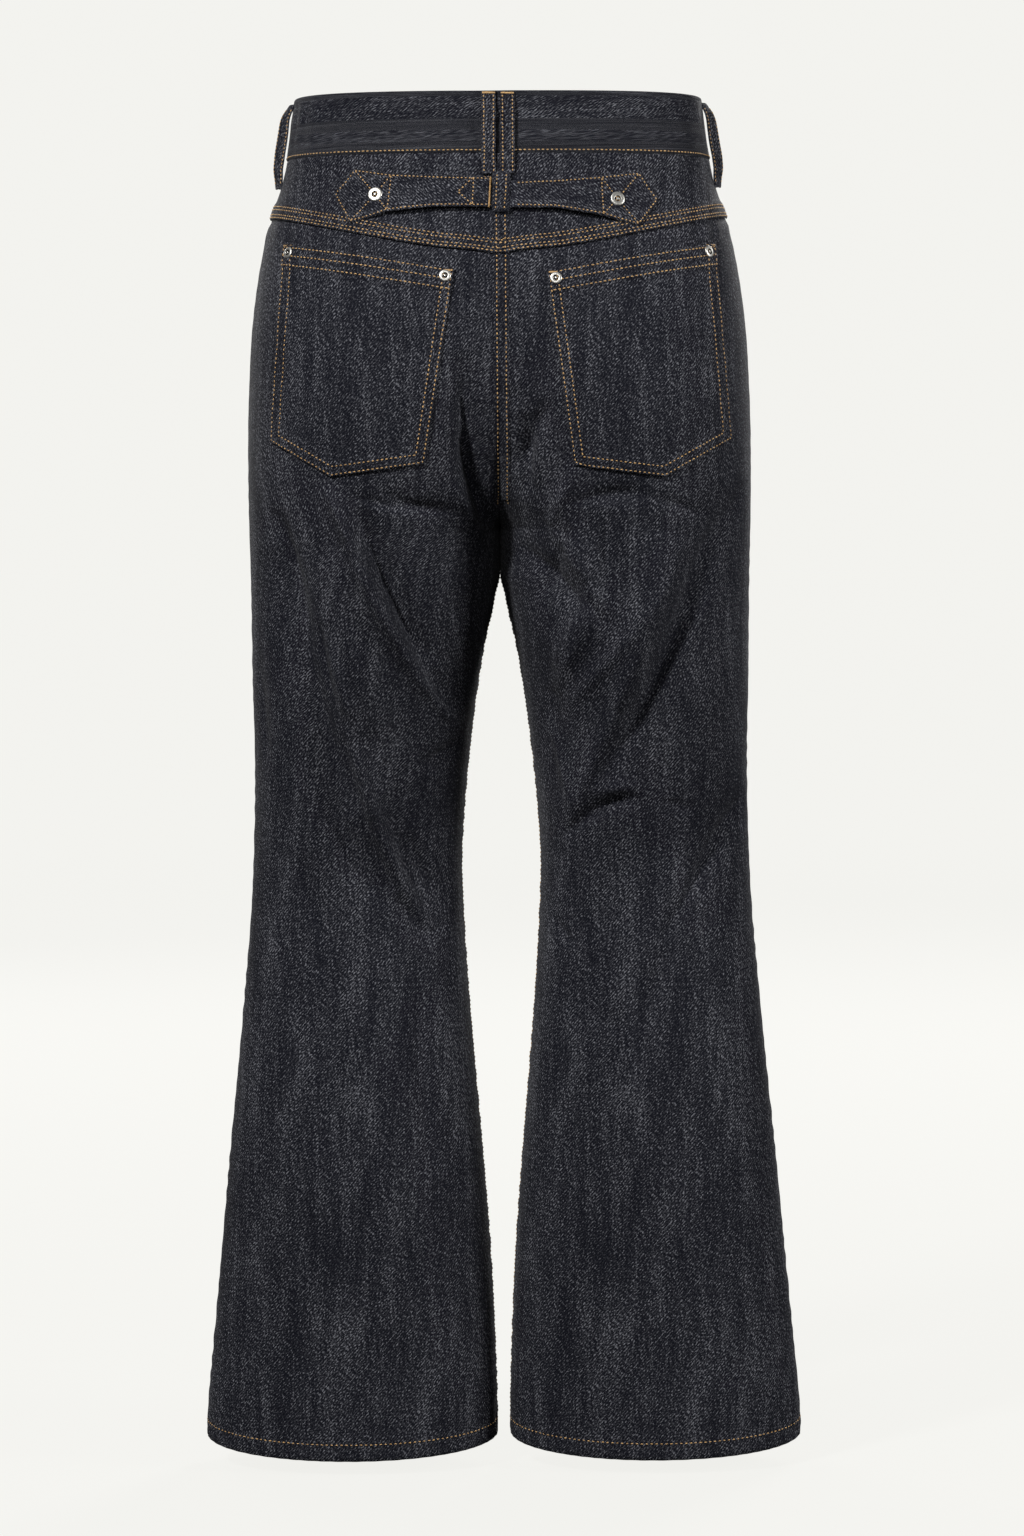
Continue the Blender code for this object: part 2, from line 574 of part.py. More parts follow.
def strip(name, side, x, face, width, stations, lift):
    """A belt loop: a flat strip down the cloth at x, standing off it by its lift."""
    across = strip_direction(side, x, face)
    inner = []
    for drop, share in stations:
        turn = 0.0 if x is None else turn_at(abs(x), drop, face)
        out = LOOP_BASE + lift * share
        inner.append(Vector(cloth(np.array(turn), np.array(drop), side, np.array(out))))
    rib = bmesh.new()
    rings = []
    for number, middle in enumerate(inner):
        before = inner[max(0, number - 1)]
        after = inner[min(len(inner) - 1, number + 1)]
        away = (after - before).cross(across).normalized()
        if away.dot(outward(side, x, face)) < 0:
            away.negate()
        corners = []
        for sideways, outwards in ((-0.5, 0), (0.5, 0), (0.5, 1), (-0.5, 1)):
            corners.append(rib.verts.new(middle + across * width * sideways + away * LOOP_CLOTH * outwards))
        rings.append(corners)
    for first, second in zip(rings, rings[1:]):
        for corner in range(4):
            following = (corner + 1) % 4
            rib.faces.new((first[corner], first[following], second[following], second[corner]))
    rib.faces.new(rings[0])
    rib.faces.new(rings[-1])
    bmesh.ops.recalc_face_normals(rib, faces=rib.faces[:])
    mesh = bpy.data.meshes.new(name)
    rib.to_mesh(mesh)
    rib.free()
    return keep(name, mesh, denim())


def outward(side, x, face):
    """The level direction out of the cloth at the middle of the waistband."""
    drop = BAND_HEIGHT / 2
    turn = 0.0 if x is None else turn_at(abs(x), drop, face)
    low = cloth(np.array(turn), np.array(drop), side)
    high = cloth(np.array(turn), np.array(drop), side, np.array(0.01))
    direction = Vector(high - low)
    direction.z = 0.0
    return direction.normalized()


def strip_direction(side, x, face):
    """The level direction along the cloth at the middle of the waistband."""
    return outward(side, x, face).cross(Vector((0.0, 0.0, 1.0))).normalized()


def belt_loops():
    for side, x in BACK_LOOPS:
        strip(f"belt_loop_back_{side}", side, x, "back", LOOP_WIDTH, LOOP_STATIONS, BACK_LOOP_LIFT)
    for side in SIDES:
        strip(f"belt_loop_side_{side}", side, None, "back", LOOP_WIDTH, SIDE_LOOP_STATIONS, SIDE_LOOP_LIFT)
        strip(f"belt_loop_front_{side}", side, FRONT_LOOP_X, "front", LOOP_WIDTH, LOOP_STATIONS,
              BACK_LOOP_LIFT)


def keeper():
    """The short strip over the two strap ends at the centre back."""
    over = PATCH_CLOTH + KEEPER_LIFT
    drops = np.linspace(KEEPER_TOP, KEEPER_BOTTOM, 4)
    stations = [(float(drop), 1.0) for drop in drops]
    strip("cinch_keeper", "right", abs(KEEPER_X), "back", KEEPER_WIDTH, stations, over)


def turned(name, profile, place, direction):
    """A round metal part: a profile spun round its axis, standing on its flat face."""
    base = Matrix.Translation(place) @ direction.to_track_quat("Z", "Y").to_matrix().to_4x4()
    turning = bmesh.new()
    chain = [turning.verts.new((radius, 0.0, height)) for radius, height in profile]
    chain.append(turning.verts.new((0.0, 0.0, 0.0)))
    edges = [turning.edges.new(pair) for pair in zip(chain, chain[1:])]
    bmesh.ops.spin(turning, geom=chain + edges, cent=(0, 0, 0), axis=(0, 0, 1), angle=2 * pi,
                   steps=ROUND_SIDES, use_merge=True)
    bmesh.ops.remove_doubles(turning, verts=turning.verts[:], dist=0.00005)
    bmesh.ops.recalc_face_normals(turning, faces=turning.faces[:])
    turning.transform(base)
    mesh = bpy.data.meshes.new(name)
    turning.to_mesh(mesh)
    turning.free()
    return keep(name, mesh, nickel())


def metal_on(name, profile, side, x, drop, face, height):
    """A round metal part on the cloth, its base the given height above it."""
    turn = np.array(turn_at(x, drop, face))
    low = Vector(cloth(turn, np.array(drop), side, np.array(height)))
    high = Vector(cloth(turn, np.array(drop), side, np.array(height + 0.01)))
    turned(name, profile, low, (high - low).normalized())


def rivets_and_button():
    on_patch = GAP + PATCH_CLOTH + 2 * GAP
    for side in SIDES:
        for corner, x, drop in POCKET_RIVETS:
            metal_on(f"pocket_rivet_{side}_{corner}", RIVET_PROFILE, side, x, drop, "back", on_patch)
    for side, x, drop in CINCH_RIVETS:
        metal_on(f"cinch_rivet_{side}", CINCH_PROFILE, side, x, drop, "back", on_patch)
    metal_on("waist_button", BUTTON_PROFILE, "left", 0.0165, BUTTON_DROP, "front", 0.0006 + 2 * GAP)


def main():
    for leftover in list(bpy.data.objects):
        bpy.data.objects.remove(leftover)
    waistband()
    yokes()
    back_panels()
    front_panels()
    pocket_facings()
    back_pockets()
    cinch_straps()
    fly_lap()
    belt_loops()
    keeper()
    rivets_and_button()


if __name__ == "__main__":
    main()
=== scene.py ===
"""Bootcut jeans with a cinched back, sewn from raw denim, on a pale studio floor.

Metres, +Z up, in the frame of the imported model: the origin is the middle of the waist
opening at the top edge of the waistband, and a drop is a distance below it.  The fly
faces -Y, the back pockets face +Y, and the wearer's left is +X.

Each half of the jeans is a tube of rounded oval sections.  A point on it has a turn,
the angle from the side seam (0) through the back (90 degrees) to the inside leg (180)
or through the front (-90), and a drop.  The cloth is that form with its folds, smaller
creases and seam puckers, and every other piece is laid on it.
"""

from math import cos, pi, radians, sin

import bpy
import numpy as np
from bpy.props import FloatProperty, FloatVectorProperty, PointerProperty
from mathutils import Matrix, Vector
from mathutils.bvhtree import BVHTree


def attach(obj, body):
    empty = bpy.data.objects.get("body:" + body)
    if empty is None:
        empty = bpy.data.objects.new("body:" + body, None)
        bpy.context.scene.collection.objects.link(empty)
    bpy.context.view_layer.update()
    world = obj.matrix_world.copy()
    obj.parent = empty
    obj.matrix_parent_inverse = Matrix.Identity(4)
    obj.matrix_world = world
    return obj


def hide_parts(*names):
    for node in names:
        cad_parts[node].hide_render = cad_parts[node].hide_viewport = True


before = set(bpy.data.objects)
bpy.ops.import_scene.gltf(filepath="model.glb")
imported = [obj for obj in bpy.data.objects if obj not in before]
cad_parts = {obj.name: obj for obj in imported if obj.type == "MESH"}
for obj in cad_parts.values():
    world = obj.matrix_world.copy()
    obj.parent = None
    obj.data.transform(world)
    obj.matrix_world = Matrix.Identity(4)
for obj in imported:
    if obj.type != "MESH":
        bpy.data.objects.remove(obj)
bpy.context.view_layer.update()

bl_info = {
    "name": "Bootcut Jeans",
    "version": (1, 0, 0),
    "blender": (4, 5, 0),
    "location": "View3D > Sidebar > Jeans",
    "description": "Sews the cloth, stitching and metal of a pair of bootcut jeans",
    "category": "Object",
}

SIDES = ("left", "right")
SIGN = {"left": 1, "right": -1}  # of x on each side

# ---------------------------------------------------------------- the cut of the jeans

GAP = 0.0003             # between a piece and the one it lies on
BAND_HEIGHT = 0.0448
BELOW_BAND = BAND_HEIGHT + 0.0002
SEAM_TURN = 0.0004       # the turn at which a panel stops beside the side seam
SEAM_EDGE = (0.0013, 0.0009)     # radius and depth of a panel's rolled side edge
TOP_EDGE = (0.0012, 0.0006)      # and of its edge under the waistband
YOKE_SIDE = 0.0882       # lower edge of the yoke at the side seam
YOKE_MIDDLE = 0.1187     # and at the centre back
CROTCH = 0.318
HEM = 1.000
HEM_DIP = 0.010          # the hem hangs lower at the back than at the sides
HEM_RISE = 0.004         # and is a little higher at the front

# The level sections of one half: its outermost and innermost x, where its oval is
# centred, how far it reaches to the back and the front, and how square the oval is.
SECTION_COLUMNS = ("drop", "outer", "inner", "centre_x", "centre_y", "back", "front", "power")
SECTIONS = (
    (0.000, 0.1506, -0.1500, 0.0000, 0.000, 0.1000, -0.1040, 2.90),
    (0.038, 0.1556, -0.1500, 0.0000, 0.001, 0.1030, -0.1070, 2.80),
    (0.064, 0.1612, -0.1450, 0.0100, 0.002, 0.1080, -0.1090, 2.65),
    (0.087, 0.1692, -0.1400, 0.0230, 0.003, 0.1135, -0.1105, 2.50),
    (0.116, 0.1760, -0.1300, 0.0390, 0.004, 0.1205, -0.1120, 2.45),
    (0.147, 0.1811, -0.1150, 0.0540, 0.005, 0.1270, -0.1125, 2.40),
    (0.177, 0.1843, -0.0980, 0.0650, 0.006, 0.1310, -0.1120, 2.35),
    (0.207, 0.1859, -0.0800, 0.0745, 0.007, 0.1325, -0.1110, 2.30),
    (0.237, 0.1870, -0.0600, 0.0815, 0.008, 0.1310, -0.1090, 2.30),
    (0.267, 0.1873, -0.0400, 0.0865, 0.009, 0.1270, -0.1060, 2.25),
    (0.297, 0.1872, -0.0180, 0.0905, 0.010, 0.1210, -0.1020, 2.20),
    (0.318, 0.1869, 0.0000, 0.0930, 0.010, 0.1170, -0.0985, 2.15),
    (0.342, 0.1863, 0.0014, 0.0943, 0.010, 0.1130, -0.0955, 2.15),
    (0.372, 0.1858, 0.0045, 0.0955, 0.010, 0.1080, -0.0920, 2.15),
    (0.402, 0.1856, 0.0113, 0.0985, 0.009, 0.1020, -0.0890, 2.15),
    (0.432, 0.1855, 0.0165, 0.1010, 0.006, 0.0950, -0.0860, 2.15),
    (0.477, 0.1847, 0.0225, 0.1035, 0.001, 0.0820, -0.0820, 2.15),
    (0.537, 0.1855, 0.0282, 0.1068, -0.005, 0.0670, -0.0775, 2.15),
    (0.567, 0.1866, 0.0297, 0.1081, -0.006, 0.0615, -0.0755, 2.15),
    (0.597, 0.1881, 0.0289, 0.1085, -0.006, 0.0590, -0.0730, 2.15),
    (0.657, 0.1930, 0.0255, 0.1092, -0.002, 0.0620, -0.0690, 2.10),
    (0.718, 0.1986, 0.0207, 0.1097, 0.002, 0.0660, -0.0655, 2.10),
    (0.785, 0.2054, 0.0150, 0.1102, 0.003, 0.0675, -0.0620, 2.05),
    (0.860, 0.2124, 0.0094, 0.1106, 0.003, 0.0665, -0.0590, 2.05),
    (0.935, 0.2196, 0.0060, 0.1122, 0.003, 0.0650, -0.0575, 2.00),
    (0.973, 0.2232, 0.0049, 0.1132, 0.003, 0.0645, -0.0570, 2.00),
    (1.010, 0.2246, 0.0049, 0.1138, 0.003, 0.0645, -0.0570, 2.00),
)

# Folds, in millimetres: each runs from one place to another, may bow sideways in its
# middle, and stands above the cloth (+) or sinks into it (-) by its height.
FOLD_COLUMNS = ("x", "drop", "to_x", "to_drop", "bow", "width", "height")
FOLDS = {
    ("left", "back"): (
        (124, 285, 48, 439, 5, 12, 5),
        (100, 300, 34, 452, 6, 13, -5),
        (128, 405, 50, 616, 12, 12, 4.5),
        (142, 470, 85, 600, 6, 12, -3.5),
        (86, 512, 44, 618, 4, 12, -3.5),
        (90, 287, 20, 306, 6, 9, -1.8),
        (168, 300, 142, 410, -4, 12, -3),
        (166, 330, 106, 530, 4, 21, -6),
        (118, 330, 94, 470, 4, 24, 3),
        (27, 190, 9, 318, 3, 11, -6),
    ),
    ("right", "back"): (
        (57, 270, 38, 314, 0, 11, 4.2),
        (36, 306, 72, 370, 0, 11, 4.5),
        (72, 362, 36, 440, 3, 12, 4.5),
        (12, 328, 64, 378, 0, 11, -5.6),
        (62, 294, 106, 289, 0, 9, -2.2),
        (168, 288, 78, 505, 7, 18, -6.2),
        (134, 322, 44, 548, 3, 12, 4.5),
        (46, 546, 105, 516, 6, 7, -2.4),
        (184, 512, 138, 594, 0, 13, -3.5),
        (120, 320, 86, 450, 0, 22, 4.5),
        (130, 560, 80, 680, 4, 24, 3),
        (34, 400, 40, 520, 0, 18, -3.5),
        (36, 224, 13, 276, 0, 9, -4.5),
    ),
    ("left", "front"): (
        (18, 276, 108, 236, 6, 11, -4),
        (22, 300, 125, 275, 6, 12, 3.5),
        (26, 330, 118, 352, -6, 12, -3.5),
        (52, 478, 142, 520, -6, 13, -4),
        (152, 540, 64, 580, 6, 13, 3.5),
        (120, 400, 70, 470, 4, 13, 3.5),
    ),
    ("right", "front"): (
        (20, 268, 98, 224, 6, 11, -4),
        (22, 296, 122, 262, 6, 12, 3.5),
        (28, 326, 128, 338, -6, 12, -3.5),
        (146, 494, 62, 526, 6, 13, -4),
        (58, 556, 140, 592, -6, 13, 3.5),
        (72, 392, 122, 462, 4, 13, 3.5),
    ),
}

# Smaller and sharper creases that ride on the folds, in millimetres too
CREASES = {
    ("left", "back"): (
        (128, 282, 95, 363, -3, 6, 3),
        (106, 338, 64, 420, 2, 5.5, 3),
        (74, 406, 29, 466, 2, 6, 2.2),
        (112, 294, 80, 368, -2, 8, -2.6),
        (90, 342, 48, 416, 2, 7.5, -2.6),
        (134, 384, 115, 465, 2, 5.5, -2.8),
        (120, 448, 98, 541, 1, 5.5, -3),
        (103, 523, 79, 588, 2, 5.5, -2.4),
        (126, 392, 103, 471, 2, 6, 2.6),
        (110, 460, 88, 540, 1, 6, 2.8),
        (94, 532, 70, 592, 2, 6, 2),
        (81, 588, 49, 627, 0, 6, -2.4),
        (58, 493, 29, 474, 1, 5.5, -2.6),
        (160, 302, 150, 387, 2, 6, -2),
        (114, 291, 32, 302, 5, 6.5, -1.5),
        (100, 301, 50, 306, 2, 6, 0.7),
        (29, 247, 7, 316, -2, 7.5, -3.6),
        (32, 282, 13, 328, 0, 6, 1.8),
        (69, 542, 39, 602, 2, 6, -2.2),
        (181, 405, 173, 491, 1, 6, -1.4),
        (147, 559, 130, 622, 2, 7, -1.6),
        (120, 640, 118, 810, 4, 11, -1.6),
        (160, 700, 170, 870, -4, 12, 1.4),
        (62, 660, 50, 800, 3, 10, -1.6),
        (86, 740, 80, 930, 3, 12, 1.4),
        (142, 810, 150, 960, -3, 10, -1.2),
    ),
    ("right", "back"): (
        (17, 232, 21, 292, 1, 6, -3),
        (29, 236, 27, 288, 0, 6, 2.6),
        (44, 282, 67, 358, -2, 5.8, 3.2),
        (69, 356, 38, 421, 1, 5.8, 3),
        (76, 302, 74, 372, 1, 7, -2.6),
        (62, 366, 82, 392, 0, 5.5, -2.2),
        (126, 350, 45, 453, 3, 6.8, 2.8),
        (183, 283, 140, 357, 1, 7, -2.8),
        (147, 340, 110, 437, 1, 8.5, -1.8),
        (119, 414, 68, 512, 1, 8.5, -1.8),
        (160, 360, 102, 466, 1, 6.5, 2.2),
        (46, 547, 71, 522, 0, 4.2, -1.3),
        (63, 526, 104, 516, 1, 4, -1.5),
        (66, 514, 102, 506, 1, 5, 2),
        (117, 519, 142, 525, 0, 4.5, -1.5),
        (185, 515, 152, 562, 0, 6, -2.2),
        (159, 550, 117, 625, 1, 6, -2.4),
        (36, 606, 54, 628, 0, 5, -2),
        (48, 298, 114, 293, 1, 5.5, -1.8),
        (109, 293, 152, 309, 0, 5.2, -2),
        (31, 457, 54, 525, 1, 6, 2.2),
        (122, 623, 104, 690, 1, 7, -1.8),
        (54, 314, 28, 368, 1, 6, -2.8),
        (90, 650, 94, 800, 3, 11, 1.5),
        (138, 700, 152, 880, -4, 11, -1.5),
        (50, 700, 44, 860, 3, 10, -1.4),
        (112, 800, 120, 960, 3, 12, -1.3),
    ),
    ("left", "front"): (
        (20, 262, 90, 228, 4, 5.5, -2.8),
        (24, 284, 108, 252, 4, 5.5, 2.6),
        (26, 312, 100, 322, -4, 6, -2.6),
        (30, 344, 84, 378, -3, 6, 2.2),
        (60, 470, 132, 506, -4, 5.5, -3),
        (58, 496, 120, 528, -4, 5.5, 2.4),
        (146, 528, 76, 566, 4, 5.5, 2.6),
        (140, 550, 72, 590, 3, 5.5, -2.6),
        (112, 408, 78, 460, 3, 6, -2.2),
        (110, 640, 104, 800, 4, 10, 1.5),
        (150, 680, 160, 860, -4, 11, -1.5),
    ),
    ("right", "front"): (
        (22, 256, 84, 218, 4, 5.5, -2.8),
        (24, 280, 104, 244, 4, 5.5, 2.6),
        (28, 310, 110, 314, -4, 6, -2.6),
        (32, 340, 92, 364, -3, 6, 2.2),
        (140, 484, 70, 512, 4, 5.5, -3),
        (138, 506, 78, 532, 4, 5.5, 2.4),
        (64, 542, 132, 578, -4, 5.5, 2.6),
        (60, 566, 126, 604, -3, 5.5, -2.6),
        (78, 398, 114, 450, 3, 6, -2.2),
        (100, 650, 106, 810, 4, 10, -1.5),
        (146, 690, 156, 850, -4, 11, 1.5),
    ),
}

# Outlines on the back as (x, drop), x measured from the middle towards the named side
POCKET_TOP = {
    "left": ((0.0316, 0.1301), (0.1562, 0.1098)),
    "right": ((0.0348, 0.1318), (0.1576, 0.1106)),
}
POCKET_FOOT = {
    "left": ((0.0539, 0.2700), (0.1218, 0.2792), (0.1664, 0.2530)),
    "right": ((0.0541, 0.2718), (0.1198, 0.2801), (0.1692, 0.2526)),
}
STRAP_TOP = {
    "left": ((0.0044, 0.0638), (0.0421, 0.0622), (0.0779, 0.0603), (0.1037, 0.0558), (0.1189, 0.0744)),
    "right": ((0.0060, 0.0664), (0.0408, 0.0654), (0.0738, 0.0628), (0.1024, 0.0591), (0.1162, 0.0801)),
}
STRAP_FOOT = {
    "left": ((0.0044, 0.0857), (0.0476, 0.0861), (0.0806, 0.0892), (0.1073, 0.0967), (0.1189, 0.0744)),
    "right": ((0.0060, 0.0865), (0.0407, 0.0870), (0.0736, 0.0925), (0.1020, 0.0994), (0.1162, 0.0801)),
}
STRAP_SHARES = (0.0, 0.35, 0.64, 0.86, 1.0)     # where those corners stand along a strap
KEEPER = (0.0040, -0.0090, 0.0600, 0.0889)   # left edge, right edge, top, bottom
BACK_LOOPS = (("left", 0.0014, 0.0117), ("right", -0.0123, -0.0019))
FRONT_LOOP_X = 0.082
SCOOP_TURN = radians(-66)        # where the pocket scoop leaves the waistband
SCOOP_DEPTH = 0.118              # where it meets the side seam
FACING_BOTTOM = 0.135
FACING_MARGIN = 0.20             # how far the facing runs on under the panel, in turn
FLY_WIDTH = 0.040
FLY_STRAIGHT = 0.135
FLY_BOTTOM = 0.182
FLY_WALL = 0.0009
POCKET_RIVETS = {
    "left": (("outer", 0.1510, 0.1167), ("inner", 0.0384, 0.1354)),
    "right": (("outer", 0.1514, 0.1172), ("inner", 0.0416, 0.1374)),
}
CINCH_RIVETS = (("left", 0.0885, 0.0756), ("right", 0.0861, 0.0798))
BUTTON_X = 0.0165
BUTTON_DROP = 0.0215


# ---------------------------------------------------------------- what a user may change


def length(name, description, default):
    return FloatProperty(name=name, description=description, default=default, unit="LENGTH")


def colour(name, description, default):
    return FloatVectorProperty(
        name=name, description=description, subtype="COLOR", size=3, min=0.0, max=1.0, default=default)


class JeansSizes(bpy.types.PropertyGroup):
    """Sizes of the cloth and its sewing."""

    cloth: length("Cloth", "Thickness of the denim", 0.0011)
    seam_step: length("Seam step", "How far a felled seam stands proud", 0.0009)
    hem_turn: length("Hem", "Height of the turned-up hem", 0.0118)
    pucker: length("Pucker", "Height of the puckers along seams", 0.00055)
    stitch_pitch: length("Stitch pitch", "From one stitch to the next", 0.0033)
    thread: length("Thread", "Width of the sewing thread", 0.00100)
    edge_row: length("Edge row", "From a folded edge to its stitching", 0.0017)


class DenimLook(bpy.types.PropertyGroup):
    """Colours and scale of the raw denim."""

    indigo: colour("Indigo", "Colour of the warp", (0.0040, 0.0045, 0.0092))
    weft: colour("Weft", "Colour where the weft shows through", (0.176, 0.182, 0.208))
    weft_share: FloatProperty(
        name="Weft share", description="How much of the weft shows", default=0.066, min=0.0, max=1.0,
        subtype="FACTOR")
    inside: colour("Inside", "Colour of the reverse of the cloth", (0.23, 0.24, 0.26))
    twill_pitch: length("Twill pitch", "Between two twill lines", 0.00185)


class TrimLook(bpy.types.PropertyGroup):
    """Colours of the thread and the metal."""

    thread: colour("Thread", "Colour of the topstitching", (0.66, 0.42, 0.180))
    thread_shade: colour("Thread shade", "Colour of the darker stitches", (0.21, 0.12, 0.055))
    nickel: colour("Nickel", "Colour of the rivets and the button", (0.36, 0.35, 0.33))


class StageLook(bpy.types.PropertyGroup):
    """The floor, the light and the camera."""

    backdrop: colour("Backdrop", "Colour of the floor and of what lies behind it", (0.896, 0.893, 0.861))
    distance: length("Distance", "From the camera to its aim", 3.6)
    elevation: FloatProperty(
        name="Elevation", description="How far the camera looks down", default=radians(3.3), unit="ROTATION")
    roll: FloatProperty(
        name="Roll", description="How far the camera leans", default=radians(-0.26), unit="ROTATION")
    frame_height: length("Frame height", "Height of the picture at the aim", 1.154)
    floor_drop: length("Floor", "How far the floor lies below the waist", 1.022)


GROUPS = {
    "jeans_sizes": JeansSizes,
    "denim_look": DenimLook,
    "trim_look": TrimLook,
    "stage_look": StageLook,
}


def sizes():
    return bpy.context.scene.jeans_sizes


# ---------------------------------------------------------------- the form of the cloth


def between(stations, values, places):
    """A smooth curve through values at stations, read at places."""
    slopes = np.gradient(values, stations)
    places = np.clip(places, stations[0], stations[-1])
    lower = np.clip(np.searchsorted(stations, places, side="right") - 1, 0, len(stations) - 2)
    step = stations[lower + 1] - stations[lower]
    part = (places - stations[lower]) / step
    rise = part * part * (3.0 - 2.0 * part)
    curve = values[lower] * (1.0 - rise) + values[lower + 1] * rise
    curve += step * slopes[lower] * part * (1.0 - part) ** 2
    curve -= step * slopes[lower + 1] * part ** 2 * (1.0 - part)
    return curve


def section(drops):
    """The sizes of the level section at each drop, by column name."""
    table = np.array(SECTIONS)
    drops = np.asarray(drops, dtype=float)
    found = {}
    for number, column in enumerate(SECTION_COLUMNS):
        found[column] = between(table[:, 0], table[:, number], drops)
    return found


def ease(value, low, high):
    """Rises smoothly from 0 at low to 1 at high."""
    part = np.clip((value - low) / (high - low), 0.0, 1.0)
    return part * part * (3.0 - 2.0 * part)


def bell(value, width):
    return np.exp(-(value / width) ** 2)


def smooth_form(turns, drops):
    """Points of the left half without its folds.  Just below the crotch the legs touch."""
    size = section(drops)
    across = np.cos(turns)
    along = np.sin(turns)
    touching = np.where(drops > CROTCH, ease(drops, CROTCH + 0.032, CROTCH + 0.050), 1.0)
    inner = size["inner"] * touching
    width = np.where(across >= 0, size["outer"] - size["centre_x"], size["centre_x"] - inner)
    depth = np.where(along >= 0, size["back"] - size["centre_y"], size["centre_y"] - size["front"])
    x = size["centre_x"] + width * np.sign(across) * np.abs(across) ** (2 / size["power"])
    y = size["centre_y"] + depth * np.sign(along) * np.abs(along) ** (2 / size["power"])
    return np.stack((x, y, -np.asarray(drops) * np.ones_like(x)), axis=-1)


def facing_out(form, turns, drops):
    """Unit normals of a form, from its slopes round and down."""
    small = 0.0008
    round_slope = form(turns + small, drops) - form(turns - small, drops)
    down_slope = form(turns, drops + small) - form(turns, drops - small)
    normals = np.cross(down_slope, round_slope)
    return normals / np.linalg.norm(normals, axis=-1, keepdims=True)


def fold_height(x, drops, folds):
    """How far the folds lift the cloth at each place.  Their crests are narrow."""
    height = np.zeros_like(x)
    for row in folds:
        fold = dict(zip(FOLD_COLUMNS, np.array(row) / 1000))
        run_x = fold["to_x"] - fold["x"]
        run_drop = fold["to_drop"] - fold["drop"]
        length = np.hypot(run_x, run_drop)
        part = ((x - fold["x"]) * run_x + (drops - fold["drop"]) * run_drop) / length ** 2
        aside = ((x - fold["x"]) * run_drop - (drops - fold["drop"]) * run_x) / length
        part = np.clip(part, 0.0, 1.0)
        aside = aside - fold["bow"] * 4.0 * part * (1.0 - part)
        fading = np.sin(pi * part) ** 0.8
        sharp = np.sqrt((aside / fold["width"]) ** 2 + CREST ** 2) - CREST
        height += fold["height"] * fading * np.exp(-sharp * 1.7)
    return height


CREST = 0.22                     # how round the crest of a fold is, as a share of its width
FOLD_LIFT = {"left": 2.1, "right": 1.55}     # what the heights of a side's folds are scaled by


def wander(along, pitch, phase=0.0):
    """An uneven wave from -1 to 1, like the puckers beside a row of stitching."""
    slow = 2 * pi * along / pitch
    swell = 0.65 + 0.35 * np.sin(slow / 7.7 + 1.0 + phase)
    return np.sin(slow + 1.7 * np.sin(slow / 4.3 + phase)) * swell


def yoke_drop(turns):
    """The drop of the yoke seam at each turn of the back."""
    middle = rise_turn(YOKE_MIDDLE)
    swing = (1 - np.cos(turns)) / (1 - cos(middle))
    return YOKE_SIDE + (YOKE_MIDDLE - YOKE_SIDE) * swing


def hem_sway(turns):
    """How much lower the hem hangs at each turn."""
    return np.where(np.sin(turns) >= 0, HEM_DIP, HEM_RISE) * np.sin(turns)


def seam_puckers(points, turns, drops, side):
    """Small waves where the thread draws the cloth in beside the seams."""
    high = sizes().pucker
    size = section(drops)
    from_side = np.abs(points[..., 1] - size["centre_y"])
    outer = np.cos(turns) >= 0
    on_back = np.sin(turns) >= 0
    x = points[..., 0]
    phase = 0.0 if side == "left" else 2.1
    beside_outseam = np.where(outer, np.exp(-from_side / 0.010), 0.0)
    lift = 0.8 * high * beside_outseam * wander(drops, 0.017, phase)
    below_crotch = ease(drops, CROTCH + 0.045, CROTCH + 0.07)
    beside_inseam = np.where(outer, 0.0, np.exp(-from_side / 0.010)) * below_crotch
    lift += 0.9 * high * beside_inseam * wander(drops, 0.014, phase + 1.0)
    above_hem = HEM + hem_sway(turns) - drops
    rope = np.sin(2 * pi * (0.112 * turns + 0.8 * above_hem) / 0.0135 + 1.9 * np.sin(5.0 * turns + phase))
    lift += 0.9 * high * bell(above_hem - 0.007, 0.008) * rope
    lift += 0.5 * high * np.exp(-np.abs(above_hem - 0.018) / 0.012) * wander(0.112 * turns, 0.021, phase)
    below_yoke = np.where(on_back, drops - yoke_drop(turns), 1.0)
    lift += 1.2 * high * bell(below_yoke - 0.008, 0.008) * wander(x, 0.0105, phase)
    below_band = drops - BAND_HEIGHT
    lift += 0.6 * high * np.exp(-np.abs(below_band) / 0.006) * wander(x, 0.013, phase)
    from_rise = np.abs(x)
    above_crotch = 1.0 - ease(drops, CROTCH - 0.02, CROTCH)
    lift += 1.0 * high * bell(from_rise - 0.014, 0.010) * wander(drops, 0.016, phase) * above_crotch
    return lift


def cloth_form(turns, drops, side):
    """Points of the left half with the folds of the named side."""
    turns, drops = np.broadcast_arrays(np.asarray(turns, dtype=float), np.asarray(drops, dtype=float))
    points = smooth_form(turns, drops)
    x = points[..., 0]
    on_back = np.sin(turns) >= 0
    back = fold_height(x, drops, FOLDS[side, "back"] + CREASES[side, "back"])
    front = fold_height(x, drops, FOLDS[side, "front"] + CREASES[side, "front"])
    away_from_seams = ease(np.abs(np.sin(turns)), 0.10, 0.50) * ease(x, 0.001, 0.013)
    lift = FOLD_LIFT[side] * np.where(on_back, back, front) * away_from_seams
    lift = lift + seam_puckers(points, turns, drops, side)
    return points + facing_out(smooth_form, turns, drops) * lift[..., None]


MIRROR = np.array((-1.0, 1.0, 1.0))


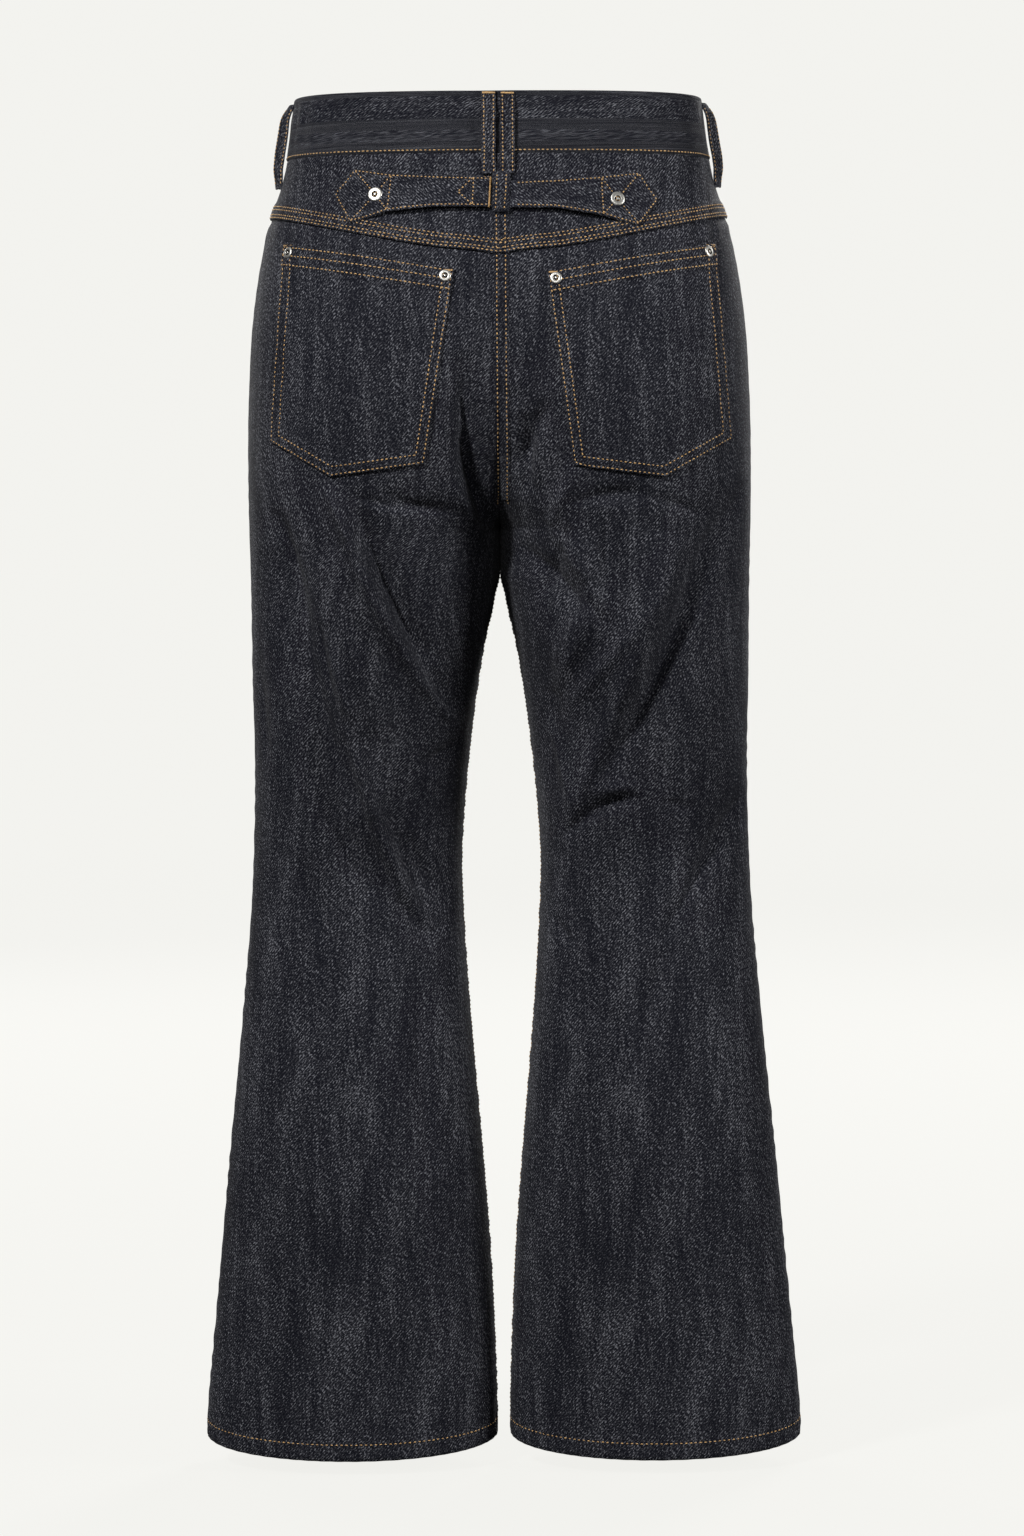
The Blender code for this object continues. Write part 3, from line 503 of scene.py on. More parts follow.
def cloth(turns, drops, side, out=0.0):
    """Points of one side's cloth moved out along its normals, and those normals."""

    def form(some_turns, some_drops):
        return cloth_form(some_turns, some_drops, side)

    turns, drops = np.broadcast_arrays(np.asarray(turns, dtype=float), np.asarray(drops, dtype=float))
    normals = facing_out(form, turns, drops)
    points = form(turns, drops) + normals * (np.asarray(out) * np.ones_like(turns))[..., None]
    if side == "right":
        points = points * MIRROR
        normals = normals * MIRROR
    return points, normals


def turn_at(x, drops, face="back"):
    """The turn of the cloth at x from the middle, on the back or the front."""
    size = section(drops)
    short = x - size["centre_x"]
    power = size["power"] / 2
    outer = np.arccos(np.clip(short / (size["outer"] - size["centre_x"]), 0.0, 1.0) ** power)
    inner = pi - np.arccos(np.clip(-short / (size["centre_x"] - size["inner"]), 0.0, 1.0) ** power)
    turns = np.where(short >= 0, outer, inner)
    return turns if face == "back" else -turns


def rise_turn(drop, face="back"):
    """The turn at which one half reaches the middle of the body."""
    return float(turn_at(0.0, drop, face))


def flat_place(x, drops, face="back", out=0.0):
    """Points and normals at x from the middle, where x below 0 is on the wearer's right."""
    x, drops = np.broadcast_arrays(np.asarray(x, dtype=float), np.asarray(drops, dtype=float))
    turns = turn_at(np.abs(x), drops, face)
    left_points, left_normals = cloth(turns, drops, "left", out)
    right_points, right_normals = cloth(turns, drops, "right", out)
    on_left = (x >= 0)[..., None]
    return np.where(on_left, left_points, right_points), np.where(on_left, left_normals, right_normals)


def crotch_drop():
    """Where the rise seam ends: the half just reaches the middle there."""
    drops = np.linspace(CROTCH - 0.02, CROTCH + 0.02, 401)
    return float(np.interp(0.0, section(drops)["inner"], drops))


def rise_ends(top, face, rows):
    """Evenly spaced (turn, drop) ends down the rise seam, from top to the crotch."""
    bottom = crotch_drop()
    drops = top + (bottom - top) * np.sin(np.linspace(0.0, pi / 2, 400))
    turns = turn_at(0.0, drops, face)
    turns[-1] = pi if face == "back" else -pi
    points = smooth_form(turns, drops)
    travelled = np.concatenate(([0.0], np.cumsum(np.linalg.norm(np.diff(points, axis=0), axis=1))))
    marks = np.linspace(0.0, travelled[-1], rows + 1)
    return np.interp(marks, travelled, turns), np.interp(marks, travelled, drops)


def edge_shares(columns, fine=(0.0012, 0.0025, 0.0045, 0.008)):
    """Shares from 0 to 1, even inside and closer at both ends, for a rolled edge."""
    inside = np.linspace(fine[-1] * 1.6, 1 - fine[-1] * 1.6, columns)
    near = np.array((0.0,) + tuple(fine))
    return np.concatenate((near, inside, 1 - near[::-1]))


def ruled(outer_turns, outer_drops, inner_turns, inner_drops, shares):
    """Rows of turns and drops between the two side edges of a panel."""
    shares = shares[None, :]
    turns = outer_turns[:, None] * (1 - shares) + inner_turns[:, None] * shares
    swing = (1 - np.cos(turns - outer_turns[:, None])) / (1 - np.cos(inner_turns - outer_turns))[:, None]
    drops = outer_drops[:, None] * (1 - swing) + inner_drops[:, None] * swing
    return turns, drops


def rolled(distance, radius, depth):
    """How far a surface sinks within radius of a folded edge, like a quarter round."""
    near = np.clip(1.0 - distance / radius, 0.0, 1.0)
    return -depth * (1.0 - np.sqrt(np.clip(1.0 - near ** 2, 0.0, 1.0)))


# ---------------------------------------------------------------- shader expressions


class Value:
    """A number on a surface.  The usual operators add Math nodes."""

    def __init__(self, finish, socket):
        self.finish = finish
        self.socket = socket

    def __add__(self, other):
        return self.finish.math("ADD", self, other)

    __radd__ = __add__

    def __sub__(self, other):
        return self.finish.math("SUBTRACT", self, other)

    def __rsub__(self, other):
        return self.finish.math("SUBTRACT", other, self)

    def __mul__(self, other):
        return self.finish.math("MULTIPLY", self, other)

    __rmul__ = __mul__

    def __truediv__(self, other):
        return self.finish.math("DIVIDE", self, other)

    def __rtruediv__(self, other):
        return self.finish.math("DIVIDE", other, self)

    def __pow__(self, other):
        return self.finish.math("POWER", self, other)

    def __rpow__(self, other):
        return self.finish.math("POWER", other, self)

    def sine(self):
        return self.finish.math("SINE", self)

    def clipped(self):
        return self.finish.node("ShaderNodeClamp", {}, {"Value": self})["Result"]

    def eased(self, low, high):
        """Rises smoothly from 0 at low to 1 at high."""
        settings = {"interpolation_type": "SMOOTHSTEP"}
        return self.finish.node(
            "ShaderNodeMapRange", settings, {"Value": self, "From Min": low, "From Max": high})["Result"]


class Finish:
    """A material whose nodes are made from expressions."""

    def __init__(self, name, roughness=0.5, metallic=0.0, **constants):
        self.material = bpy.data.materials.new(name)
        self.material.use_nodes = True
        self.tree = self.material.node_tree
        self.shader = self.tree.nodes["Principled BSDF"]
        self.shader.inputs["Roughness"].default_value = roughness
        self.shader.inputs["Metallic"].default_value = metallic
        for socket, value in constants.items():
            self.shader.inputs[socket.replace("_", " ")].default_value = value

    def put(self, socket, value):
        """Links a value to an input socket, or sets it there."""
        if isinstance(value, Value):
            self.tree.links.new(value.socket, socket)
        elif isinstance(value, tuple) and len(value) == 3 and socket.type == "RGBA":
            socket.default_value = (*value, 1.0)
        else:
            socket.default_value = value

    def node(self, kind, settings, inputs):
        """Any node: its settings first, then its inputs.  Gives its outputs by name."""
        made = self.tree.nodes.new(kind)
        for name, setting in settings.items():
            setattr(made, name, setting)
        for name, value in inputs.items():
            self.put(made.inputs[name], value)
        return {output.name: Value(self, output) for output in made.outputs if output.enabled}

    def math(self, operation, first, second=0.0):
        made = self.tree.nodes.new("ShaderNodeMath")
        made.operation = operation
        self.put(made.inputs[0], first)
        self.put(made.inputs[1], second)
        return Value(self, made.outputs[0])

    def blend(self, share, first, second):
        """Goes from one colour to another as share rises from 0 to 1."""
        made = self.tree.nodes.new("ShaderNodeMix")
        made.data_type = "RGBA"
        self.put(made.inputs[0], share)
        self.put(made.inputs[6], first)
        self.put(made.inputs[7], second)
        return Value(self, made.outputs[2])

    def grain(self):
        """The cloth's own metres: across the warp, along it, and both as a vector."""
        place = self.node("ShaderNodeUVMap", {"uv_map": GRAIN}, {})["UV"]
        across, along, _ = self.parts(place)
        return across, along, place

    def parts(self, place):
        """The three numbers of a place."""
        numbers = self.node("ShaderNodeSeparateXYZ", {}, {"Vector": place})
        return numbers["X"], numbers["Y"], numbers["Z"]

    def stretched(self, place, scale):
        """A place with its axes scaled one by one."""
        settings = {"operation": "MULTIPLY"}
        return self.node("ShaderNodeVectorMath", settings, {0: place, 1: scale})["Vector"]

    def noise(self, place, scale=1.0, detail=2.0, roughness=0.5):
        inputs = {"Vector": place, "Scale": scale, "Detail": detail, "Roughness": roughness}
        return self.node("ShaderNodeTexNoise", {}, inputs)["Fac"]

    def uneven(self, place, across, along, detail=1.0, roughness=0.5):
        """Noise about 0, of its own fineness across and along the warp."""
        place = self.stretched(place, (across, along, 0.0))
        return self.noise(place, detail=detail, roughness=roughness) - 0.5

    def object_place(self):
        return self.node("ShaderNodeTexCoord", {}, {})["Object"]

    def attribute(self, name):
        return self.node("ShaderNodeAttribute", {"attribute_name": name}, {})["Fac"]

    def colour(self, value):
        self.put(self.shader.inputs["Base Color"], value)

    def roughness(self, value):
        self.put(self.shader.inputs["Roughness"], value)

    def relief(self, height, distance, strength):
        """Raises the surface by height times distance, in shading."""
        inputs = {"Height": height, "Distance": distance, "Strength": strength}
        normal = self.node("ShaderNodeBump", {}, inputs)["Normal"]
        self.put(self.shader.inputs["Normal"], normal)


GRAIN = "Grain"


def denim_finish(name):
    """Raw denim: indigo warp with the pale weft showing between its diagonal lines."""
    look = bpy.context.scene.denim_look
    finish = Finish(name, Sheen_Weight=0.03, Sheen_Roughness=0.5, Specular_IOR_Level=0.08)
    across, along, place = finish.grain()
    steep = radians(49)
    drift = finish.uneven(place, 120.0, 120.0)
    aside = across * sin(steep) - along * cos(steep)
    slanted = {"X": aside, "Y": across * cos(steep) + along * sin(steep)}
    slanted = finish.node("ShaderNodeCombineXYZ", {}, slanted)["Vector"]
    line = aside / look.twill_pitch + drift
    ridge = (line * (2 * pi)).sine() * 0.5 + 0.5
    speckle = finish.uneven(slanted, 1050.0, 500.0, roughness=0.6)
    fleck = finish.uneven(place, 450.0, 280.0)
    slub = finish.uneven(place, 620.0, 100.0)
    streak = finish.uneven(place, 150.0, 18.0, detail=2.0)
    patch = finish.uneven(place, 42.0, 9.0, detail=2.0)
    heavy = finish.noise(finish.stretched(place, (700.0, 300.0, 0.0)), detail=1.0)
    shown = 12.6 * speckle + 2.0 * fleck + 2.2 * slub + 2.7 * streak + 2.6 * patch + 1.6 * (ridge - 0.5)
    growth = 2.718
    shown = look.weft_share * growth ** shown
    shown = shown * (1.0 + 1.5 * heavy.eased(0.64, 0.80))
    finish.colour(finish.blend(shown.clipped(), tuple(look.indigo), tuple(look.weft)))
    finish.roughness(0.94 - 0.14 * ridge)
    finish.relief(ridge * 0.7 + speckle * 2.0 + slub * 0.6, 0.00022, 0.8)
    return finish.material


def reverse_finish(name):
    """The inside of the cloth, where the undyed weft lies on top."""
    look = bpy.context.scene.denim_look
    finish = Finish(name, Specular_IOR_Level=0.25)
    across, along, place = finish.grain()
    steep = radians(122)
    line = (across * sin(steep) - along * cos(steep)) / look.twill_pitch
    ridge = (line * (2 * pi)).sine() * 0.5 + 0.5
    fleck = finish.noise(finish.stretched(place, (900.0, 700.0, 0.0)), detail=2.0)
    shade = tuple(0.42 * part for part in look.inside)
    finish.colour(finish.blend((ridge * (0.5 + fleck)).clipped(), shade, tuple(look.inside)))
    finish.roughness(0.95 - 0.1 * ridge)
    finish.relief(ridge + fleck, 0.0002, 0.6)
    return finish.material


def thread_finish(name):
    """Waxed tan thread, each stitch a little lighter or darker than the next."""
    look = bpy.context.scene.trim_look
    finish = Finish(name, Specular_IOR_Level=0.45)
    shade = finish.attribute(SHADE)
    wisp = finish.noise(finish.object_place(), scale=2600.0, detail=2.0)
    share = (shade * 0.75 + wisp * 0.35).clipped()
    finish.colour(finish.blend(share, tuple(look.thread_shade), tuple(look.thread)))
    finish.roughness(0.62 - 0.14 * wisp)
    finish.relief(wisp, 0.0001, 0.7)
    return finish.material


SHADE = "shade"


def nickel_finish(name):
    """Tumbled nickel, brighter and duller in random patches."""
    look = bpy.context.scene.trim_look
    finish = Finish(name, roughness=0.3, metallic=0.75)
    place = finish.object_place()
    mottle = finish.noise(place, scale=700.0, detail=3.0, roughness=0.6)
    grime = finish.noise(place, scale=260.0, detail=2.0)
    dull = tuple(0.55 * part for part in look.nickel)
    finish.colour(finish.blend((0.5 * mottle + 0.5 * grime).eased(0.35, 0.62), dull, tuple(look.nickel)))
    finish.roughness(0.40 + 0.22 * mottle)
    finish.relief(mottle, 0.00004, 0.5)
    return finish.material


def hollow_shade_finish(name):
    """Metal painted near black in the groove of a rivet: painted shade standing for the inside of its hollow,
    mottled towards brown.
    """
    finish = Finish(name, roughness=0.6, metallic=0.6)
    mottle = finish.noise(finish.object_place(), scale=900.0, detail=2.0)
    # near black and dark brown, the painted shade of the rivet's hollow
    black = (0.010, 0.009, 0.008)
    brown = (0.035, 0.031, 0.028)
    finish.colour(finish.blend(mottle, black, brown))
    return finish.material


def finish_named(name, maker):
    """A finish is made once and shared."""
    return bpy.data.materials.get(name) or maker(name)


def denim():
    return finish_named("raw_denim", denim_finish)


def reverse():
    return finish_named("denim_reverse", reverse_finish)


# ---------------------------------------------------------------- making cloth pieces


class Swatch:
    """A grid of cloth points with the normals they face, and which way its grain runs.

    The warp hangs plumb at the distance plumb from the middle of the body, or runs across.
    """

    def __init__(self, points, normals, across=False, plumb=0.1):
        self.points = points
        self.normals = normals
        self.across = across
        self.plumb = plumb

    def grain_map(self):
        """Metres across and along the warp at each point."""
        steps = np.linalg.norm(np.diff(self.points, axis=1), axis=2)
        arc = np.concatenate((np.zeros((len(steps), 1)), np.cumsum(steps, axis=1)), axis=1)
        x = np.abs(self.points[..., 0])
        for number, row in enumerate(arc):
            order = np.argsort(x[number])
            arc[number] = row - np.interp(self.plumb, x[number][order], row[order])
        row = self.points.shape[0] // 2
        middle = self.points.shape[1] // 2
        run = self.points[row, middle] - self.points[row, middle - 1]
        if run @ np.cross((0.0, 0.0, 1.0), self.normals[row, middle]) < 0:
            arc = -arc
        up = self.points[..., 2]
        if self.across:
            return np.stack((up, -arc), axis=-1)
        return np.stack((arc, up), axis=-1)

    def quads(self, first):
        """Corner numbers of the grid's faces, turned to face out."""
        rows, columns = self.points.shape[:2]
        numbers = first + np.arange(rows * columns).reshape(rows, columns)
        corners = np.stack((numbers[:-1, :-1], numbers[1:, :-1], numbers[1:, 1:], numbers[:-1, 1:]), axis=-1)
        down = self.points[1:, :-1] - self.points[:-1, :-1]
        along = self.points[:-1, 1:] - self.points[:-1, :-1]
        agreement = np.sum(np.cross(down, along) * self.normals[:-1, :-1])
        corners = corners.reshape(-1, 4)
        return corners if agreement > 0 else corners[:, ::-1]


def only_select(piece):
    for other in bpy.context.selected_objects:
        other.select_set(False)
    bpy.context.view_layer.objects.active = piece
    piece.select_set(True)


def apply_modifiers(piece):
    only_select(piece)
    for modifier in list(piece.modifiers):
        bpy.ops.object.modifier_apply(modifier=modifier.name)
    piece.select_set(False)


def sew(name, swatches, node, wall=None):
    """A piece of cloth from its swatches, with its wall, its grain and its two faces."""
    points = np.concatenate([swatch.points.reshape(-1, 3) for swatch in swatches])
    grain = np.concatenate([swatch.grain_map().reshape(-1, 2) for swatch in swatches])
    quads = []
    first = 0
    for swatch in swatches:
        quads.append(swatch.quads(first))
        first += swatch.points.shape[0] * swatch.points.shape[1]
    quads = np.concatenate(quads)
    mesh = bpy.data.meshes.new(name)
    mesh.from_pydata(points.tolist(), [], quads.tolist())
    layer = mesh.uv_layers.new(name=GRAIN)
    layer.data.foreach_set("uv", grain[quads.reshape(-1)].astype(np.float32).reshape(-1))
    mesh.materials.append(denim())
    mesh.materials.append(reverse())
    piece = bpy.data.objects.new(name, mesh)
    bpy.context.scene.collection.objects.link(piece)
    wall_modifier = piece.modifiers.new("Wall", "SOLIDIFY")
    wall_modifier.thickness = wall or sizes().cloth
    wall_modifier.offset = -1.0
    wall_modifier.material_offset = 1
    wall_modifier.material_offset_rim = 0
    apply_modifiers(piece)
    only_select(piece)
    bpy.ops.object.shade_smooth_by_angle(angle=radians(50))
    piece.select_set(False)
    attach(piece, "root")
    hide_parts(node)
    return piece


def rail(corners, shares):
    """Places along a polyline of (x, drop) corners, at shares of its length."""
    corners = np.array(corners)
    lengths = np.concatenate(([0.0], np.cumsum(np.linalg.norm(np.diff(corners, axis=0), axis=1))))
    marks = np.asarray(shares) * lengths[-1]
    return np.stack((np.interp(marks, lengths, corners[:, 0]), np.interp(marks, lengths, corners[:, 1])), -1)


def to_outline(x, drops, corners):
    """The distance of each place to the nearest edge of a closed outline."""
    nearest = np.full(np.shape(x), 1.0)
    for first, second in zip(corners, corners[1:] + corners[:1]):
        run = np.subtract(second, first)
        length = np.hypot(*run)
        part = np.clip(((x - first[0]) * run[0] + (drops - first[1]) * run[1]) / length ** 2, 0.0, 1.0)
        gone = np.hypot(x - first[0] - part * run[0], drops - first[1] - part * run[1])
        nearest = np.minimum(nearest, gone)
    return nearest


# ---------------------------------------------------------------- the pieces


def waistband_swatch():
    """Outer face, over the top edge and down the inner face, all round."""
    proud = 0.0006
    thick = 0.0026
    tuck = 0.034
    half = np.linspace(-pi / 2, pi / 2, 121)
    outside = np.linspace(BAND_HEIGHT, thick / 2, 17)
    outward = np.full(len(outside), proud)
    outward[0] = proud - 0.0007
    outside = np.insert(outside, 1, BAND_HEIGHT - 0.0009)
    outward = np.insert(outward, 1, proud)
    arc = np.linspace(0.0, pi, 7)[1:-1]
    over = thick / 2 * (1 - np.sin(arc))
    over_out = proud - thick / 2 + thick / 2 * np.cos(arc)
    inside = np.linspace(thick / 2, BAND_HEIGHT, 12)
    profile_drop = np.concatenate((outside, over, inside))
    profile_out = np.concatenate((outward, over_out, np.full(len(inside), proud - thick)))
    columns = [("left", turn, 0.0) for turn in half]
    columns += [("right", turn, 0.0) for turn in half[::-1][1:-3]]
    behind = -(thick + 2 * GAP)
    for x in np.linspace(0.001, tuck, 12):
        columns.append(("left", float(turn_at(x, 0.02, "front")), behind))
    wave = wander(np.linspace(0.0, 0.94, len(columns)), 0.031)
    points = []
    normals = []
    for number, (side, turn, shift) in enumerate(columns):
        outer_face = profile_out > proud - thick / 2
        bulge = 0.0007 * wave[number] * np.sin(pi * profile_drop / BAND_HEIGHT) * outer_face
        turns = np.full(len(profile_drop), turn)
        place, facing = cloth(turns, profile_drop, side, profile_out + shift + bulge)
        flip = np.where(np.arange(len(profile_drop)) >= len(outside) + len(over), -1.0, 1.0)
        points.append(place)
        normals.append(facing * flip[:, None])
    return Swatch(np.stack(points, axis=1)[::-1], np.stack(normals, axis=1)[::-1], across=True)


def yoke_swatch(side):
    """From the waistband down to the felled seam, proud along its lower edge."""
    step = sizes().seam_step
    shares = np.concatenate((np.linspace(0.0, 0.955, 34), (0.975, 0.988, 0.996, 1.0)))
    top = BELOW_BAND
    outer_drops = top + (YOKE_SIDE - top) * shares
    inner_drops = top + (YOKE_MIDDLE - top) * shares
    inner_turns = turn_at(0.0, inner_drops)
    edge = np.full(len(shares), SEAM_TURN)
    turns, drops = ruled(edge, outer_drops, inner_turns, inner_drops, edge_shares(YOKE_COLUMNS))
    above_edge = yoke_drop(turns) - drops
    out = step * (1.0 - ease(above_edge, 0.0095, 0.0135)) + rolled(above_edge, 0.0010, 0.0011)
    out += rolled(drops - top, *TOP_EDGE)
    for row in YOKE_ROWS:
        out -= 0.00022 * bell(above_edge - row, 0.0009)
    out += 0.00025 * wander(turns * 0.13, 0.0125) * bell(above_edge - 0.005, 0.006)
    return Swatch(*cloth(turns, drops, side, out))


YOKE_COLUMNS = 110
YOKE_ROWS = (0.0013, 0.0034, 0.0070, 0.0092)     # stitch rows above the yoke seam


def rise_lap(top, bottom, face, from_x, to_x):
    """The strip of the left panel that laps over the right one along the rise seam."""
    step = sizes().seam_step
    drops = np.linspace(top, bottom, max(8, int((bottom - top) / 0.0028)))[:, None]
    near_edge = to_x + np.array((0.0010, 0.0005, 0.0))
    x = np.concatenate((np.linspace(from_x, to_x + 0.0016, 9), near_edge))[None, :]
    out = -0.0004 + (step + 0.0004) * ease(from_x - x, 0.0, 0.0045)
    out = out + rolled(x - to_x, 0.0012, step - 0.0001)
    out = out + 0.0002 * wander(drops, 0.0115, 0.7) + 0 * x
    return Swatch(*flat_place(x + 0 * drops, drops + 0 * x, face, out))


def seam_roll(arc_outer, arc_inner, drops):
    """Both side edges of a panel turn in where they meet the next panel."""
    below = ease(drops, CROTCH + 0.040, CROTCH + 0.070)
    return rolled(arc_outer, *SEAM_EDGE) + rolled(arc_inner, *SEAM_EDGE) * below


def across_arcs(turns, drops):
    """Distances of each place to the two side edges of its row."""
    points = smooth_form(turns, drops)
    steps = np.linalg.norm(np.diff(points, axis=1), axis=2)
    arc = np.concatenate((np.zeros((len(steps), 1)), np.cumsum(steps, axis=1)), axis=1)
    return arc, arc[:, -1:] - arc


# Rows round the folded edge of the hem: how far below it, and how far in as a share
HEM_EDGE = ((0.0006, 0.25), (0.0009, 0.5), (0.0006, 0.75), (0.0, 1.0), (-0.004, 1.0), (-0.008, 1.0))


def hem_rows(drops, turns, out):
    """Adds the turned-up hem: round the edge and back up on the inside."""
    turn_up = sizes().hem_turn
    inner = -(2 * sizes().cloth + 0.0004)
    last_drops = drops[-1]
    last_turns = turns[-1]
    last_out = out[-1]
    for down, share in (*HEM_EDGE, (-turn_up, 1.0)):
        drops = np.vstack((drops, last_drops + down))
        turns = np.vstack((turns, last_turns))
        out = np.vstack((out, last_out + inner * share))
    return drops, turns, out


def with_hem(normals):
    """The last four rows of a hemmed panel face the inside of the leg."""
    flip = np.ones(len(normals))
    flip[-4:] = -1.0
    return normals * flip[:, None, None]


def leg_shares():
    """How far down from the crotch to the hem each row of a leg stands."""
    return np.linspace(0.0, 1.0, LEG_ROWS + 1)[1:]


# How many rows and columns of points a leg and a facing have
RISE_ROWS = 84
SCOOP_ROWS = 34
LEG_ROWS = 230
BACK_COLUMNS = 100
FRONT_COLUMNS = 70
FACING_COLUMNS = 40
BELOW_CROTCH = 0.010             # where the rows of the thigh turn level, below the crotch


def back_leg_swatch(side):
    """From under the yoke to the turned-up hem."""
    inner_turns, inner_drops = rise_ends(YOKE_MIDDLE, "back", RISE_ROWS)
    thigh = crotch_drop() + BELOW_CROTCH
    outer_drops = np.linspace(YOKE_SIDE, thigh, RISE_ROWS + 1)
    leg = leg_shares()
    outer_drops = np.concatenate((outer_drops, thigh + (HEM - thigh) * leg))
    inner_drops = np.concatenate((inner_drops, inner_drops[-1] + (HEM - inner_drops[-1]) * leg))
    inner_turns = np.concatenate((inner_turns, np.full(LEG_ROWS, pi)))
    tuck = np.array((-0.008, -0.004, -0.0012))
    outer_drops = np.concatenate((YOKE_SIDE + tuck, outer_drops))
    inner_drops = np.concatenate((YOKE_MIDDLE + tuck, inner_drops))
    inner_turns = np.concatenate((turn_at(0.0, YOKE_MIDDLE + tuck), inner_turns))
    edge = np.full(len(outer_drops), SEAM_TURN)
    turns, drops = ruled(edge, outer_drops, inner_turns, inner_drops, edge_shares(BACK_COLUMNS))
    drops = drops + hem_sway(turns) * ease(drops, 0.6, HEM)
    below_yoke = drops - yoke_drop(turns)
    out = -0.0016 * (1.0 - ease(below_yoke, 0.0002, 0.0050)) + seam_roll(*across_arcs(turns, drops), drops)
    drops, turns, out = hem_rows(drops, turns, out)
    points, normals = cloth(turns, drops, side, out)
    return Swatch(points, with_hem(normals))


def front_leg_swatch(side):
    """From the waistband and the pocket scoop to the turned-up hem."""
    top = BELOW_BAND
    inner_turns, inner_drops = rise_ends(top, "front", RISE_ROWS + 10)
    thigh = crotch_drop() + BELOW_CROTCH
    arc = np.linspace(0.0, pi / 2, SCOOP_ROWS + 1)
    scoop_turns = SCOOP_TURN * np.cos(arc)
    scoop_drops = top + (SCOOP_DEPTH - top) * np.sin(arc)
    below = np.linspace(SCOOP_DEPTH, thigh, RISE_ROWS + 11 - SCOOP_ROWS)[1:]
    leg = leg_shares()
    outer_drops = np.concatenate((scoop_drops, below, thigh + (HEM - thigh) * leg))
    outer_turns = np.full(len(outer_drops), -SEAM_TURN)
    outer_turns[:len(arc)] = np.minimum(scoop_turns, -SEAM_TURN)
    inner_drops = np.concatenate((inner_drops, inner_drops[-1] + (HEM - inner_drops[-1]) * leg))
    inner_turns = np.concatenate((inner_turns, np.full(LEG_ROWS, -pi)))
    turns, drops = ruled(outer_turns, outer_drops, inner_turns, inner_drops, edge_shares(FRONT_COLUMNS))
    drops = drops + hem_sway(turns) * ease(drops, 0.6, HEM)
    out = seam_roll(*across_arcs(turns, drops), drops) + rolled(drops - top, *TOP_EDGE)
    drops, turns, out = hem_rows(drops, turns, out)
    points, normals = cloth(turns, drops, side, out)
    return Swatch(points, with_hem(normals))


def facing_swatch(side):
    """The piece that shows in the pocket scoop."""
    top = BELOW_BAND
    arc = np.linspace(0.0, 1.0, 30)
    outer_drops = top + (FACING_BOTTOM - top) * arc
    inner_turns = SCOOP_TURN * np.sqrt(1.0 - (0.9 * arc) ** 2) - FACING_MARGIN
    edge = np.full(len(arc), -SEAM_TURN)
    turns, drops = ruled(edge, outer_drops, inner_turns, outer_drops, edge_shares(FACING_COLUMNS))
    outer, _ = across_arcs(turns, drops)
    depth = 0.0021 * ease(outer, 0.0, 0.006) * ease(drops - BAND_HEIGHT, 0.0, 0.004) + 0.0003
    return Swatch(*cloth(turns, drops, side, -depth + rolled(outer, *SEAM_EDGE)))


POCKET_HEM = 0.0150              # depth of the pocket's top hem, at its lower stitch row


def pocket_swatch(side):
    """A patch pocket: folded edges, a double hem along its top, and a pointed foot."""
    top = POCKET_TOP[side]
    foot = POCKET_FOOT[side]
    foot_corner = np.hypot(*np.subtract(foot[1], foot[0]))
    foot_length = foot_corner + np.hypot(*np.subtract(foot[2], foot[1]))
    corner_share = foot_corner / foot_length
    fine = (0.004, 0.009, 0.016)
    inside = np.linspace(0.028, corner_share, 46)
    beyond = np.linspace(corner_share, 0.972, 34)[1:]
    shares = np.concatenate(((0.0,) + fine, inside, beyond, 1 - np.array(fine[::-1]), (1.0,)))
    falls = (0.0, 0.003, 0.007, 0.013), np.linspace(0.02, 0.975, 92), (0.983, 0.990, 0.996, 1.0)
    falls = np.concatenate(falls)
    upper = rail(top, shares)[None]
    lower = rail(foot, shares)[None]
    places = upper + (lower - upper) * falls[:, None, None]
    x = places[..., 0]
    drops = places[..., 1]
    from_edge = to_outline(x, drops, top + foot[::-1])
    top_run = np.subtract(top[1], top[0])
    from_top = ((drops - top[0][1]) * top_run[0] - (x - top[0][0]) * top_run[1]) / np.hypot(*top_run)
    out = 0.0018 + 0.0005 * (1.0 - ease(from_edge, 0.0085, 0.0115))
    out += 0.0008 * (1.0 - ease(from_top, POCKET_HEM + 0.0006, POCKET_HEM + 0.0022))
    out += rolled(from_edge, 0.0012, 0.0014)
    out += 0.0009 * np.sin(pi * np.clip((x - 0.04) / 0.11, 0, 1)) * (1.0 - ease(from_top, 0.0, 0.030))
    out += 0.0003 * wander(x + 0.3 * drops, 0.0135) * bell(from_edge - 0.005, 0.006)
    out -= 0.00025 * bell(from_edge - 0.0017, 0.0008)
    out += 0.0010 * wander(x, 0.052, 0.5) * ease(from_edge, 0.004, 0.03)
    turns = turn_at(x, drops)
    return Swatch(*cloth(turns, drops, side, out))


